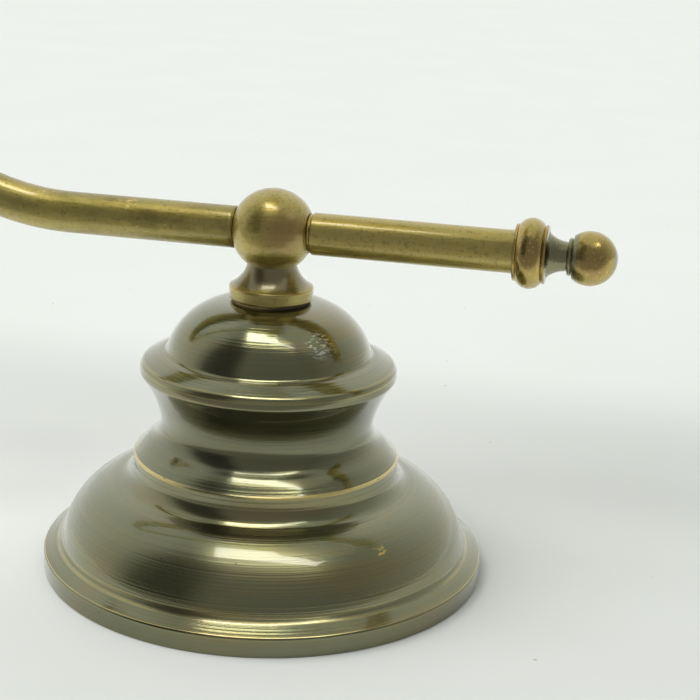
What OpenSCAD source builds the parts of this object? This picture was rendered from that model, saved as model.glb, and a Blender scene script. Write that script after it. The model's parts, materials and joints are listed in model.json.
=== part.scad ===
// Swan-neck wall lamp in antique brass, lying on its canopy as it stands on a table.
// The wall is the plane z = 0. The lamp reaches away from it along +Z.
// -X is up when the lamp hangs on a wall, so the finial at +X is its lowest end.

/* [Canopy] */
// Outer radius of the canopy's rim, on the wall
rim_r = 54; // [53:0.5:56]
// Height of the flat lip band around the rim
lip_h = 4.9; // [4.2:0.1:5.4]
// Thickness of the spun sheet
sheet_t = 1.2; // [0.8:0.1:1.4]
// Radius of the narrow waist between bell and brim
waist_r = 25.4; // [24:0.2:26.5]
// Radius of the bell's rounded back
bell_round = 16.7; // [16:0.1:17.2]
// Radius of the dome's rounded shoulder
dome_round = 16.6; // [16:0.1:17]

/* [Neck and ball] */
// Radius of the neck's flange
flange_r = 10.1; // [10:0.1:10.8]
// Radius of the ball knuckle
ball_r = 10; // [9.8:0.1:10.2]
// Height of the ball's centre above the wall
ball_z = 83.7; // [83.5:0.1:84]

/* [Arm] */
// Outer radius of the arm's tube
tube_r = 5; // [4.9:0.1:5.2]
// Radius of the tube's bore
tube_bore = 4; // [3.6:0.1:4.1]
// Distance from the ball's centre to the start of the crook
crook_x = 50; // [44:0.5:54]
// Centreline radius of the crook
crook_r = 65; // [60:1:75]
// Distance from the ball's centre to the finial's first lip
finial_x = 57; // [50:0.5:64]

/* [Finial] */
// Largest radius of the finial's bead
bead_r = 8.2; // [7.8:0.1:8.6]
// Radius of the finial's end ball
knob_r = 6.3; // [6:0.1:6.6]

/* [Shade] */
// Radius of the shade's open mouth
mouth_r = 65; // [60:1:68]
// Thickness of the glass
glass_t = 2.6; // [2.2:0.1:3]
// Radius of the bulb's globe
globe_r = 22.5; // [20:0.5:23.5]

/* [Wall fixing] */
// Distance between the two wall screws
slot_span = 74; // [72:1:76]
// Length of each slot, end to end
slot_len = 14; // [10:1:15]
// Half the width of each slot
slot_r = 2.4; // [2:0.1:2.6]

/* [Hidden] */
$fn = 96;
eps = 0.01;

brass = [0.56, 0.47, 0.25];
bronze = [0.42, 0.39, 0.28];
bright_brass = [0.72, 0.60, 0.30];
steel = [0.62, 0.63, 0.64];
porcelain = [0.93, 0.92, 0.88];
dark_fibre = [0.12, 0.10, 0.08];

// canopy: circle centres of the turned section, as [radius, height]
lip_round = 0.8;
lip_cove_r = 1.3;
bell_c = [33, 4.7];
bell_foot_a = asin((lip_h + lip_cove_r - bell_c[1]) / (bell_round + lip_cove_r));
lip_cove_c = [bell_c[0] + (bell_round + lip_cove_r) * cos(bell_foot_a), lip_h + lip_cove_r];
cove_r = 4.5;
riser_r = 32.2;
shoulder_foot = [32, 28.75];
shoulder_foot_a = 38;
shoulder_round = 18;
scotia_r = 2.2;
flare_z = 33;
brim_c = [29.4, 49.6];
brim_round = 1.6;
brim_slope = 66;
brim_crease = [28, 52.15];
dome_c = [8.7, 50.1];
dome_foot_z = 54;
dome_cove_r = 1.1;
cove_c = [riser_r + cove_r,
          bell_c[1] + sqrt(pow(bell_round + cove_r, 2) - pow(riser_r + cove_r - bell_c[0], 2))];
bell_top_a = atan2(cove_c[1] - bell_c[1], cove_c[0] - bell_c[0]);
brim_in = brim_c[0] - waist_r;
brim_up = brim_c[1] - flare_z;
flare_r = (brim_in * brim_in + brim_up * brim_up - brim_round * brim_round)
          / (2 * (brim_in + brim_round));
flare_c = [waist_r + flare_r, flare_z];
flare_a = atan2(brim_up, brim_c[0] - flare_c[0]);
shoulder_c = shoulder_foot - shoulder_round * [cos(shoulder_foot_a), sin(shoulder_foot_a)];
shoulder_reach = shoulder_round + scotia_r;
flare_reach = flare_r - scotia_r;
centres = flare_c - shoulder_c;
shoulder_top_a = atan2(centres[1], centres[0])
                 + acos((pow(shoulder_reach, 2) + pow(norm(centres), 2) - pow(flare_reach, 2))
                        / (2 * shoulder_reach * norm(centres)));
scotia_c = shoulder_c + shoulder_reach * [cos(shoulder_top_a), sin(shoulder_top_a)];
waist_a = atan2(scotia_c[1] - flare_c[1], scotia_c[0] - flare_c[0]);
dome_cove_c = [dome_c[0] + sqrt(pow(dome_round + dome_cove_r, 2)
                                - pow(dome_foot_z + dome_cove_r - dome_c[1], 2)),
               dome_foot_z + dome_cove_r];
dome_foot_a = atan2(dome_cove_c[1] - dome_c[1], dome_cove_c[0] - dome_c[0]);
canopy_top = dome_c[1] + dome_round;

// screw threads are plain cylinders at their outer radius
nipple_r = 4;
nipple_bore = 2.9;
nipple_z0 = 8.5;
nipple_z1 = 79.8;
thread_gap = 0.02;
run_gap = 0.05;
nut_af = 13;
nut_h = 4;

// wall bracket, and what the nipple passes through
bracket_t = 2;
bracket_w = 18;
bridge_z = 14;
riser_y = 25;
foot_y = 47;
tab_x = 30;
inner_washer_r = 8.5;
inner_washer_t = 1.2;
washer_t = 0.5;
neck_z0 = canopy_top + washer_t + run_gap;
neck_arc_c = [13.3, 77.2];
neck_arc_r = 7.55;
neck_arc_a = [243.7, 192.2];
flange_h = 2.8;

// terminal block, earth screw and leads
block_x = [11, 29];
block_mid_x = (block_x[0] + block_x[1]) / 2;
block_w = 24;
block_z = [2.2, bridge_z];
block_screw_r = 1.25;
block_screw_l = 6;
block_notch = [4, 1.6];
pole_pitch = 8;
pole_z = 7;
pole_r = 2.9;
pole_bore = 1.9;
clamp_x = [15.5, 24.5];
clamp_r = 1.5;
clamp_head_z = 2.6;
earth_y = -16;
earth_screw_r = 2;
earth_washer_t = 0.8;
lead_r = 0.9;
sleeve_r = 2;
sleeve_z0 = 10.8;
sleeve_z1 = 80.5;
core_r = 1.04;

// arm: screwed ends, and distances from the ball's centre line
thread_r = 4.7;
thread_x = 4.2;
stub_shoulder_x = 9.6;
arm_shoulder_x = 8.85;
elbow_r = ball_z - sleeve_z1 - 0.1;
head_z = ball_z + 2 * crook_r;

// lampholder, gallery, glass and bulb: distances from the ball's centre line
cap_x = -40;
insert_x = [-21, -7];
insert_r = 18.4;
contact_y = 9;
contact_t = 0.5;
contact_h = 2.6;
skirt_x = [-15, 14];
skirt_r = 18;
skirt_t = 1.2;
shell_r = 14.2;
shell_bore = 13.3;
shell_lip_r = 15.6;
gallery_x = -2;
ring_r = 21.4;
ring_h = 4.6;
notch_r = 0.9;
screw_x = 10;
screw_r = 1.5;
screw_tip = 26.65;
screw_head_r = 3.6;
screw_head = [33, 37.1];
screw_turns = [90, 210, 330];
boss_r = 2.7;
boss_h = 2.3;
shade_x = [3.4, 100];
shade_neck_r = 26.6;
shade_lip_r = 28.2;
bulb_x = [-1.2, 20];
bulb_cap_r = 13.1;
bulb_cap_bore = 12.65;
bulb_neck_r = 12.6;
globe_x = 46;
globe_a = -46;

function arc(c, r, a0, a1, n) =
    [for (i = [0:n]) let (a = a0 + (a1 - a0) * i / n) [c[0] + r * cos(a), c[1] + r * sin(a)]];
function back(list) = [for (i = [len(list) - 1:-1:0]) list[i]];

// Cubic curve through space or a section, from p to s, with handles q and r
function curve(p, q, r, s, n) =
    [for (i = [0:n]) let (t = i / n, u = 1 - t)
        u * u * u * p + 3 * u * u * t * q + 3 * u * t * t * r + t * t * t * s];

// The canopy's section line at a depth d below its outer face, from the rim to the top
function lip_line(d) = d == 0
    ? arc([rim_r - lip_round, lip_h - lip_round], lip_round, 0, 90, 4)
    : [[rim_r - d, lip_h - d]];
function brim_line(d) = d == 0
    ? [brim_crease, brim_crease + [-0.25, 0.35], brim_crease + [-0.9, 0.75]]
    : [brim_crease - [0.45 * d, 0.88 * d]];
function canopy_line(d) = concat(
    [[rim_r - d, 0]],
    lip_line(d),
    arc(lip_cove_c, lip_cove_r + d, 270, 180 + bell_foot_a, 4),
    arc(bell_c, bell_round - d, bell_foot_a + 3, bell_top_a, 14),
    arc(cove_c, cove_r + d, 180 + bell_top_a, 180, 6),
    [[riser_r - d, shoulder_foot[1] - 0.35 - d]],
    arc(shoulder_c, shoulder_round - d, shoulder_foot_a, shoulder_top_a - 2, 6),
    arc(scotia_c, scotia_r + d, 180 + shoulder_top_a, waist_a, 6),
    arc(flare_c, flare_r + d, waist_a - 3, flare_a, 8),
    arc(brim_c, brim_round - d, flare_a - 170, brim_slope, 8),
    brim_line(d),
    arc(dome_cove_c, dome_cove_r + d, 268, 180 + dome_foot_a, 5),
    arc(dome_c, dome_round - d, dome_foot_a + 5, 90, 12));

module turned(points) rotate_extrude() polygon(points);
module along_x(x) translate([x, 0, 0]) rotate([0, 90, 0]) children();
module at_head() translate([0, 0, head_z]) rotate([0, 90, 0]) children();
module ring(r_out, r_in, h) difference() {
    cylinder(r = r_out, h = h);
    translate([0, 0, -1]) cylinder(r = r_in, h = h + 2);
}
module hex_nut(bore) difference() {
    cylinder(r = nut_af / 2 / cos(30), h = nut_h, $fn = 6);
    translate([0, 0, -1]) cylinder(r = bore, h = nut_h + 2);
}
// A slotted screw: round head up, shank down from z = 0
module slotted_screw(head_r, head_h, shank_r, shank_l, slot_w) difference() {
    union() {
        cylinder(r = head_r, h = head_h);
        translate([0, 0, -shank_l]) cylinder(r = shank_r, h = shank_l + eps);
    }
    translate([-head_r - 1, -slot_w / 2, head_h * 0.45]) cube([2 * head_r + 2, slot_w, head_h]);
}

module canopy() color(bronze) turned(concat(
    canopy_line(0),
    [[nipple_r + 0.2, canopy_top], [nipple_r + 0.2, canopy_top - sheet_t]],
    back(canopy_line(sheet_t))));

// Cranked steel bar: two slotted feet on the wall, a raised bridge and a side tab
module slot_cut(y) translate([0, y, 0]) {
    for (s = [-1, 1])
        translate([0, s * (slot_len / 2 - slot_r), -1]) cylinder(r = slot_r, h = bracket_t + 2);
    translate([-slot_r, -slot_len / 2 + slot_r, -1])
        cube([2 * slot_r, slot_len - 2 * slot_r, bracket_t + 2]);
}
module wall_bracket() color(steel) difference() {
    union() {
        for (s = [-1, 1]) {
            translate([-bracket_w / 2, s > 0 ? riser_y : -foot_y, 0])
                cube([bracket_w, foot_y - riser_y, bracket_t]);
            translate([-bracket_w / 2, s > 0 ? riser_y : -riser_y - bracket_t, 0])
                cube([bracket_w, bracket_t, bridge_z + bracket_t]);
        }
        translate([-bracket_w / 2, -riser_y - bracket_t, bridge_z])
            cube([bracket_w, 2 * (riser_y + bracket_t), bracket_t]);
        translate([0, -bracket_w / 2, bridge_z]) cube([tab_x, bracket_w, bracket_t]);
    }
    for (s = [-1, 1]) slot_cut(s * slot_span / 2);
    translate([0, 0, bridge_z - 1]) cylinder(r = nipple_r + thread_gap, h = bracket_t + 2);
    translate([0, earth_y, bridge_z - 1]) cylinder(r = earth_screw_r + thread_gap, h = bracket_t + 2);
    for (y = [-pole_pitch / 2, pole_pitch / 2])
        translate([block_mid_x, y, bridge_z - 1])
            cylinder(r = block_screw_r + thread_gap, h = bracket_t + 2);
}
module bracket_nuts() color(bright_brass)
    for (z = [bridge_z - nut_h, bridge_z + bracket_t])
        translate([0, 0, z]) hex_nut(nipple_r + thread_gap);
module nipple() color(bright_brass)
    translate([0, 0, nipple_z0]) ring(nipple_r, nipple_bore, nipple_z1 - nipple_z0);
module canopy_washer() color(steel)
    translate([0, 0, canopy_top - sheet_t - inner_washer_t])
        ring(inner_washer_r, nipple_r + 2 * run_gap, inner_washer_t);
module canopy_nut() color(bright_brass)
    translate([0, 0, canopy_top - sheet_t - inner_washer_t - nut_h]) hex_nut(nipple_r + thread_gap);
module friction_washer() color(dark_fibre)
    translate([0, 0, canopy_top]) ring(flange_r - 0.8, nipple_r + run_gap, washer_t);

// Three-pole terminal block under the bracket's tab, with its clamp screws facing the wall
module terminal_block() color(porcelain) difference() {
    translate([block_x[0], -block_w / 2, block_z[0]])
        cube([block_x[1] - block_x[0], block_w, block_z[1] - block_z[0]]);
    for (y = [-pole_pitch:pole_pitch:pole_pitch]) {
        translate([block_x[0] - 1, y, pole_z]) rotate([0, 90, 0])
            cylinder(r = pole_r + run_gap, h = block_x[1] - block_x[0] + 2);
        for (x = clamp_x)
            translate([x, y, block_z[0] - 1]) cylinder(r = clamp_r + 0.25, h = pole_z - block_z[0]);
    }
    for (y = [-pole_pitch / 2, pole_pitch / 2])
        translate([block_mid_x, y, bridge_z + bracket_t - block_screw_l - 0.4])
            cylinder(r = block_screw_r + thread_gap, h = block_z[1]);
    for (y = [-pole_pitch / 2, pole_pitch / 2], x = [block_x[0] - 1, block_x[1] + 1 - block_notch[0]])
        translate([x, y - block_notch[1] / 2, block_z[0] - 1])
            cube([block_notch[0], block_notch[1], block_z[1] - block_z[0] - 1]);
}
module terminal_sleeves() color(bright_brass)
    for (y = [-pole_pitch:pole_pitch:pole_pitch]) difference() {
        translate([block_x[0] + 1.5, y, pole_z]) rotate([0, 90, 0])
            ring(pole_r, pole_bore, block_x[1] - block_x[0] - 3);
        for (x = clamp_x)
            translate([x, y, pole_z - pole_r - 1]) cylinder(r = clamp_r + thread_gap, h = pole_r);
    }
module terminal_screws() color(steel)
    for (y = [-pole_pitch:pole_pitch:pole_pitch], x = clamp_x) difference() {
        translate([x, y, clamp_head_z]) cylinder(r = clamp_r, h = pole_z - lead_r - clamp_head_z);
        translate([x - 2, y - 0.3, clamp_head_z - 0.6]) cube([4, 0.6, 1.4]);
    }
module block_screws() color(steel)
    for (y = [-pole_pitch / 2, pole_pitch / 2])
        translate([block_mid_x, y, bridge_z + bracket_t])
            slotted_screw(2.2, 1.5, block_screw_r, block_screw_l, 0.6);
module earth_washer() color(bright_brass)
    translate([0, earth_y, bridge_z + bracket_t]) ring(4.4, earth_screw_r + 0.1, earth_washer_t);
module earth_screw() color(bright_brass)
    translate([0, earth_y, bridge_z + bracket_t + earth_washer_t])
        slotted_screw(3.6, 2.4, earth_screw_r, 6, 0.9);

// A round core swept along a path, as rings that stay square to the path
function unit(v) = v / norm(v);
function along(p, i) = unit(p[min(i + 1, len(p) - 1)] - p[max(i - 1, 0)]);
module core_sweep(path, r, sides) {
    side = [0, 1, 0];
    rings = [for (i = [0:len(path) - 1])
        let (t = along(path, i), a = unit(cross(t, side)), b = cross(t, a))
        for (k = [0:sides - 1]) path[i] + r * (cos(360 * k / sides) * a + sin(360 * k / sides) * b)];
    n = len(path);
    polyhedron(rings, concat(
        [[for (k = [0:sides - 1]) k]],
        [[for (k = [sides - 1:-1:0]) (n - 1) * sides + k]],
        [for (i = [0:n - 2], k = [0:sides - 1]) let (l = (k + 1) % sides)
            [i * sides + k, (i + 1) * sides + k, (i + 1) * sides + l, i * sides + l]]));
}
module base_lead(pole, turn, tint) {
    y = pole * pole_pitch;
    foot = [core_r * cos(turn), core_r * sin(turn), 0];
    start = [block_x[0] - 0.5, y, pole_z];
    path = concat(
        [[clamp_x[0] + 1, y, pole_z]],
        curve(start, [5.5, 0.9 * y, 6.2], foot + [0, 0, 1.5], foot + [0, 0, 9.2], 12),
        [foot + [0, 0, sleeve_z0]]);
    color(tint) core_sweep(path, lead_r, 8);
}
module lead_live() base_lead(-1, 240, [0.36, 0.20, 0.10]);
module lead_neutral() base_lead(1, 120, [0.12, 0.24, 0.55]);
module lead_earth() base_lead(0, 0, [0.35, 0.55, 0.15]);
module base_sleeve() color(dark_fibre)
    translate([0, 0, sleeve_z0]) cylinder(r = sleeve_r, h = sleeve_z1 - sleeve_z0);

// Turned neck: disc flange below, hollow curve up to a cupped seat for the ball
module neck() color(brass) difference() {
    turned(concat(
        [[nipple_r + run_gap, neck_z0], [flange_r - 0.45, neck_z0], [flange_r - 0.1, neck_z0 + 0.35],
         [flange_r, neck_z0 + flange_h]],
        arc(neck_arc_c, neck_arc_r, neck_arc_a[0], neck_arc_a[1], 9),
        [[nipple_r + run_gap, neck_arc_c[1] + neck_arc_r * sin(neck_arc_a[1])]]));
    translate([0, 0, ball_z]) sphere(r = ball_r + thread_gap);
}
module ball() color(brass) difference() {
    translate([0, 0, ball_z]) sphere(r = ball_r);
    translate([-ball_r - 1, 0, ball_z]) rotate([0, 90, 0])
        cylinder(r = thread_r + thread_gap, h = 2 * ball_r + 2);
    translate([0, 0, ball_z - ball_r - 1]) cylinder(r = nipple_r + run_gap, h = ball_r);
}

// Straight tube with a threaded end, from its thread past its shoulder to the given length
module tube_leg(shoulder, length) turned([
    [tube_bore, thread_x], [thread_r - 0.3, thread_x], [thread_r, thread_x + 0.4],
    [thread_r, shoulder], [tube_r - 0.25, shoulder], [tube_r, shoulder + 0.3],
    [tube_r, length], [tube_bore, length]]);
module stub_tube() color(brass)
    translate([0, 0, ball_z]) along_x(0) tube_leg(stub_shoulder_x, finial_x);
module crook(r, bore) translate([-crook_x, 0, ball_z + crook_r]) rotate([90, 0, 0]) rotate([0, 0, 90])
    rotate_extrude(angle = 180) translate([crook_r, 0]) difference() {
        circle(r = r);
        if (bore > 0) circle(r = bore);
    }
module arm_tube() color(brass) union() {
    translate([0, 0, ball_z]) rotate([0, -90, 0]) tube_leg(arm_shoulder_x, crook_x);
    crook(tube_r, tube_bore);
    at_head() turned([
        [tube_bore, -crook_x], [tube_r, -crook_x], [tube_r, cap_x], [thread_r, cap_x],
        [thread_r, cap_x + 7.6], [thread_r - 0.3, cap_x + 8], [tube_bore, cap_x + 8]]);
}
module arm_sleeve() color(dark_fibre) union() {
    translate([-elbow_r, 0, sleeve_z1 + 0.1]) rotate([90, 0, 0])
        rotate_extrude(angle = 90) translate([elbow_r, 0]) circle(r = sleeve_r);
    translate([-crook_x, 0, ball_z]) rotate([0, 90, 0]) cylinder(r = sleeve_r, h = crook_x - elbow_r);
    crook(sleeve_r, 0);
    at_head() translate([0, 0, -crook_x]) cylinder(r = sleeve_r, h = crook_x + insert_x[0]);
}

// Turned finial with its spigot in the stub tube's end, measured from its first lip
module finial() color(brass) translate([0, 0, ball_z]) along_x(finial_x) {
    spigot_r = tube_bore - thread_gap;
    spigot_l = 7;
    lip_r = 6.6;
    back_lip_r = 6.8;
    bead_x = [0.9, 6.7];
    bead_edge = 6.35;
    bead_rise = bead_r - 6.65;
    bead_half = (bead_x[1] - bead_x[0]) / 2;
    bead_round = (bead_half * bead_half + bead_rise * bead_rise) / (2 * bead_rise);
    bead_a = asin(bead_half / bead_round);
    cone_round = 6.9;
    cone_c = [3.35 + cone_round, 12.5];
    collar_r = 4.35;
    knob_x = 17.3;
    turned(concat(
        [[0, -spigot_l], [spigot_r - 0.48, -spigot_l], [spigot_r, 0.5 - spigot_l],
         [spigot_r, eps], [lip_r - 0.7, eps], [lip_r, 0.2], [lip_r, 0.7], [bead_edge, bead_x[0]]],
        arc([bead_r - bead_round, (bead_x[0] + bead_x[1]) / 2], bead_round, -bead_a, bead_a, 10),
        [[back_lip_r - 0.4, bead_x[1] + 0.1], [back_lip_r, bead_x[1] + 0.3],
         [back_lip_r, bead_x[1] + 0.8], [back_lip_r - 0.6, bead_x[1] + 1], [5.55, bead_x[1] + 1.05]],
        [for (x = [8.2:1:12.2]) [cone_c[0] - sqrt(pow(cone_round, 2) - pow(cone_c[1] - x, 2)), x]],
        [[collar_r - 0.25, 12.3], [collar_r, 12.6], [collar_r, 13.1], [collar_r - 0.25, 13.4]],
        arc([0, knob_x], knob_r, -37, 90, 12)));
}

// Turned collar that hides the joint between arm and lampholder
collar_x = cap_x - 5.4;
collar_r = 7.2;
module arm_collar() color(brass) at_head() turned(concat(
    [[tube_r + thread_gap, collar_x], [6.2, collar_x], [6.7, collar_x + 0.3], [6.7, collar_x + 0.8]],
    arc([5.4, collar_x + 2.6], 2.1, -50, 50, 6),
    [[collar_r - 0.3, cap_x - 1], [collar_r, cap_x - 0.7], [collar_r, cap_x - thread_gap],
     [tube_r + thread_gap, cap_x - thread_gap]]));

// Lampholder: domed cap, porcelain insert, threaded shell and skirt
holder_r = 19.6;
holder_t = 1;
holder_bead_r = 20.3;
cap_round = 11;
cap_dome_c = [holder_r - cap_round, cap_x + 17];
cap_neck_r = 8;
module holder_cap() color(brass) at_head() turned(concat(
    [[thread_r + thread_gap, cap_x], [cap_neck_r - 0.4, cap_x], [cap_neck_r, cap_x + 0.4],
     [cap_neck_r, cap_x + 5.4]],
    arc(cap_dome_c, cap_round, -88, 0, 9),
    [[holder_r, skirt_x[0] - 2.6], [holder_bead_r, skirt_x[0] - 2.2],
     [holder_bead_r, skirt_x[0] - 0.1], [holder_r - holder_t, skirt_x[0] - 0.1]],
    arc(cap_dome_c, cap_round - holder_t, 0, -88, 9),
    [[thread_r + thread_gap, cap_x + 7]]));
module holder_skirt() color(brass) at_head() turned([
    [holder_r - holder_t, skirt_x[0]], [holder_bead_r, skirt_x[0]], [holder_bead_r, skirt_x[0] + 2],
    [holder_r, skirt_x[0] + 2.5], [holder_r, gallery_x], [skirt_r, gallery_x],
    [skirt_r, skirt_x[1] - 0.4], [skirt_r - 0.4, skirt_x[1]], [skirt_r - skirt_t, skirt_x[1]],
    [skirt_r - skirt_t, gallery_x - holder_t], [holder_r - holder_t, gallery_x - holder_t]]);
module holder_insert() color(porcelain) at_head() difference() {
    neck_r = skirt_r - skirt_t - 0.2;
    turned([
        [0, insert_x[0]], [insert_r - 0.4, insert_x[0]], [insert_r, insert_x[0] + 0.4], [insert_r, -11],
        [neck_r, -10], [neck_r, -1], [shell_r + 0.1, -1], [shell_r + 0.1, insert_x[1]],
        [0, insert_x[1]]]);
    for (s = [-1, 1]) translate([0, s * contact_y, insert_x[0] - 1])
        cylinder(r = 2, h = insert_x[1] - insert_x[0] + 2);
}
module holder_screws() color(bright_brass) at_head()
    for (s = [-1, 1]) translate([0, s * contact_y, insert_x[0]]) rotate([180, 0, 0])
        slotted_screw(3.2, 1.8, 1.95, 10, 0.8);
module centre_contact() color(bright_brass) at_head() {
    translate([-2.5, -7, insert_x[1]]) cube([5, 14, contact_t]);
    translate([-2.5, -2.5, insert_x[1] + contact_t - eps]) cube([5, 5, contact_h]);
}
module thread_shell() color(bright_brass) at_head() turned([
    [shell_bore, insert_x[1]], [shell_r, insert_x[1]], [shell_r, skirt_x[1] - 1],
    [shell_lip_r, skirt_x[1] - 0.6], [shell_lip_r, skirt_x[1]], [shell_bore, skirt_x[1]]]);

// Spun gallery that holds the glass, with three tapped bosses
gallery_r = 29.6;
cup_c = [23, 4.6];
cup_round = gallery_r - cup_c[0];
cup_end = 15.4;
gallery_t = 0.9;
module gallery() color(brass) at_head() difference() {
    union() {
        turned(concat(
            [[skirt_r + run_gap, gallery_x]],
            arc(cup_c, cup_round, -90, 0, 8),
            [[gallery_r, cup_end - 1.8], [gallery_r + 0.9, cup_end - 1.4],
             [gallery_r + 0.9, cup_end - 0.4], [gallery_r + 0.5, cup_end],
             [gallery_r - gallery_t, cup_end]],
            arc(cup_c, cup_round - gallery_t, 0, -90, 8),
            [[skirt_r + run_gap, gallery_x + gallery_t]]));
        for (a = screw_turns) rotate([0, 0, a]) translate([gallery_r - 0.5, 0, screw_x])
            rotate([0, 90, 0]) cylinder(r = boss_r, h = boss_h);
    }
    for (a = screw_turns) rotate([0, 0, a]) translate([gallery_r - 3, 0, screw_x])
        rotate([0, 90, 0]) cylinder(r = screw_r + run_gap, h = 8);
}
module shade_ring() color(brass) at_head() difference() {
    translate([0, 0, gallery_x + gallery_t]) ring(ring_r, skirt_r + run_gap, ring_h);
    for (a = [0:30:330]) rotate([0, 0, a]) translate([ring_r + 0.2, 0, -3])
        cylinder(r = notch_r, h = 10);
}

// Opal glass: lipped neck for the gallery, round shoulder and flared mouth
function shade_line(d) = concat(
    [[shade_neck_r - d, shade_x[0] + 12]],
    curve([shade_neck_r - d, shade_x[0] + 14], [28 - d, shade_x[0] + 19],
          [45 - d, shade_x[0] + 22 + d], [49 - d, shade_x[0] + 40], 10),
    curve([49.3 - d, shade_x[0] + 43], [53 - d, shade_x[0] + 62], [53 - d, shade_x[0] + 78],
          [mouth_r - d, shade_x[1]], 10));
module glass_shade() color([0.96, 0.95, 0.90]) at_head() turned(concat(
    [[shade_neck_r - 2.2, shade_x[0]], [shade_lip_r - 0.6, shade_x[0]],
     [shade_lip_r, shade_x[0] + 0.7], [shade_lip_r, shade_x[0] + 2.3],
     [shade_lip_r - 0.6, shade_x[0] + 3.2], [shade_neck_r, shade_x[0] + 3.8]],
    shade_line(0),
    back(shade_line(glass_t)),
    [[shade_neck_r - 2.6, shade_x[0] + 0.6]]));

// Bulb: glass globe on a screw cap
function globe_line(d) = concat(
    curve([bulb_neck_r - d, bulb_x[1] - 1], [bulb_neck_r + 0.1 - d, bulb_x[1] + 5],
          [bulb_neck_r + 1.2 - d, bulb_x[1] + 8],
          [(globe_r - d) * cos(globe_a), globe_x + (globe_r - d) * sin(globe_a)], 6),
    [for (i = [1:11]) let (a = globe_a + (90 - globe_a) * i / 11)
        [(globe_r - d) * cos(a), globe_x + (globe_r - d) * sin(a)]]);
module bulb_glass() color([0.95, 0.95, 0.92, 0.8]) at_head()
    turned(concat(globe_line(0), back(globe_line(1))));
module bulb_cap() color(steel) at_head() turned([
    [0, bulb_x[0]], [9, bulb_x[0]], [bulb_cap_r, bulb_x[0] + 2.5], [bulb_cap_r, bulb_x[1]],
    [bulb_cap_bore, bulb_x[1]], [bulb_cap_bore, bulb_x[1] - 1.2], [0, bulb_x[1] - 1.2]]);
module bulb_contact() color(bright_brass) at_head() {
    foot = insert_x[1] + contact_t + contact_h;
    translate([0, 0, foot]) cylinder(r1 = 3.6, r2 = 4.8, h = bulb_x[0] - foot);
}

// Thumb screw that presses on the glass neck, drawn out along its own radius
module thumb_screw(turn) color(brass) at_head() rotate([0, 0, turn]) translate([0, 0, screw_x])
    rotate([0, 90, 0]) difference() {
        turned([
            [0, screw_tip], [screw_r - 0.5, screw_tip], [screw_r, screw_tip + 0.45],
            [screw_r, screw_head[0]], [screw_head_r - 0.5, screw_head[0]],
            [screw_head_r, screw_head[0] + 0.5], [screw_head_r, screw_head[1] - 0.5],
            [screw_head_r - 0.5, screw_head[1]], [1.6, screw_head[1] + 0.3], [0, screw_head[1] + 0.4]]);
        for (a = [0:30:330]) rotate([0, 0, a])
            translate([screw_head_r + 0.15, 0, screw_head[0] + 0.6]) cylinder(r = 0.35, h = 2.9);
    }
module thumb_screw_1() thumb_screw(screw_turns[0]);
module thumb_screw_2() thumb_screw(screw_turns[1]);
module thumb_screw_3() thumb_screw(screw_turns[2]);

canopy();
wall_bracket();
bracket_nuts();
nipple();
canopy_nut();
canopy_washer();
friction_washer();
terminal_block();
terminal_sleeves();
terminal_screws();
block_screws();
earth_washer();
earth_screw();
lead_live();
lead_neutral();
lead_earth();
base_sleeve();
neck();
ball();
stub_tube();
finial();
arm_tube();
arm_sleeve();
arm_collar();
holder_cap();
holder_insert();
holder_screws();
centre_contact();
thread_shell();
holder_skirt();
gallery();
shade_ring();
glass_shade();
bulb_glass();
bulb_cap();
bulb_contact();
thumb_screw_1();
thumb_screw_2();
thumb_screw_3();
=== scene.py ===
import json
import math

import bmesh
import bpy
import numpy as np
from mathutils import Matrix, Vector

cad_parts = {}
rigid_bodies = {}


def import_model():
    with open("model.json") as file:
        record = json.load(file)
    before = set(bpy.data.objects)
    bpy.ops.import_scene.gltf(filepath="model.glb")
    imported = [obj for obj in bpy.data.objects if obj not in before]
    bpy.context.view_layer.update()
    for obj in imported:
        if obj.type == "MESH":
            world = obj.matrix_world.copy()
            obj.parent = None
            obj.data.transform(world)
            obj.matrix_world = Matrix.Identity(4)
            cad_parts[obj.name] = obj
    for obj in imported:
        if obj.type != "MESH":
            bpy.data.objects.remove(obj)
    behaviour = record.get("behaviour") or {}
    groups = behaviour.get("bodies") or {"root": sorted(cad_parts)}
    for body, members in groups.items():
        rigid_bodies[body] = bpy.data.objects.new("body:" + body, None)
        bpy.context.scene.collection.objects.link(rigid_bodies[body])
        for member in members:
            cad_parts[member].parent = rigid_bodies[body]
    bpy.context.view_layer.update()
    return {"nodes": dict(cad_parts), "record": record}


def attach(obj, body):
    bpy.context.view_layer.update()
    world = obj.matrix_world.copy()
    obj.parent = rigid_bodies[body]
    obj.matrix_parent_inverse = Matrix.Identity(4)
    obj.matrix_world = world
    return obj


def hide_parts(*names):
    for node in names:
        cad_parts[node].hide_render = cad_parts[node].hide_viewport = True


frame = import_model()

MM = 0.001

# Driving sizes in millimetres. Heights are above the wall plane, which is also the table's top
RIM_R = 54.0
LIP_H = 4.9
SHEET_T = 1.2
WAIST_R = 25.4
BELL_ROUND = 17.8
DOME_ROUND = 16.6
FLANGE_R = 10.1
BALL_R = 10.0
BALL_Z = 83.7
TUBE_R = 5.0
TUBE_BORE = 4.0
THREAD_R = 4.7
STUB_SHOULDER = 9.6
ARM_SHOULDER = 8.85
CROOK_X = 50.0
CROOK_R = 65.0
FINIAL_X = 57.0
BEAD_R = 8.2
KNOB_R = 6.3
MOUTH_R = 65.0
GLASS_T = 2.6
GLOBE_R = 22.5
NIPPLE_R = 4.0
HEAD_Z = BALL_Z + 2 * CROOK_R
CAP_X = -40.0

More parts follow.
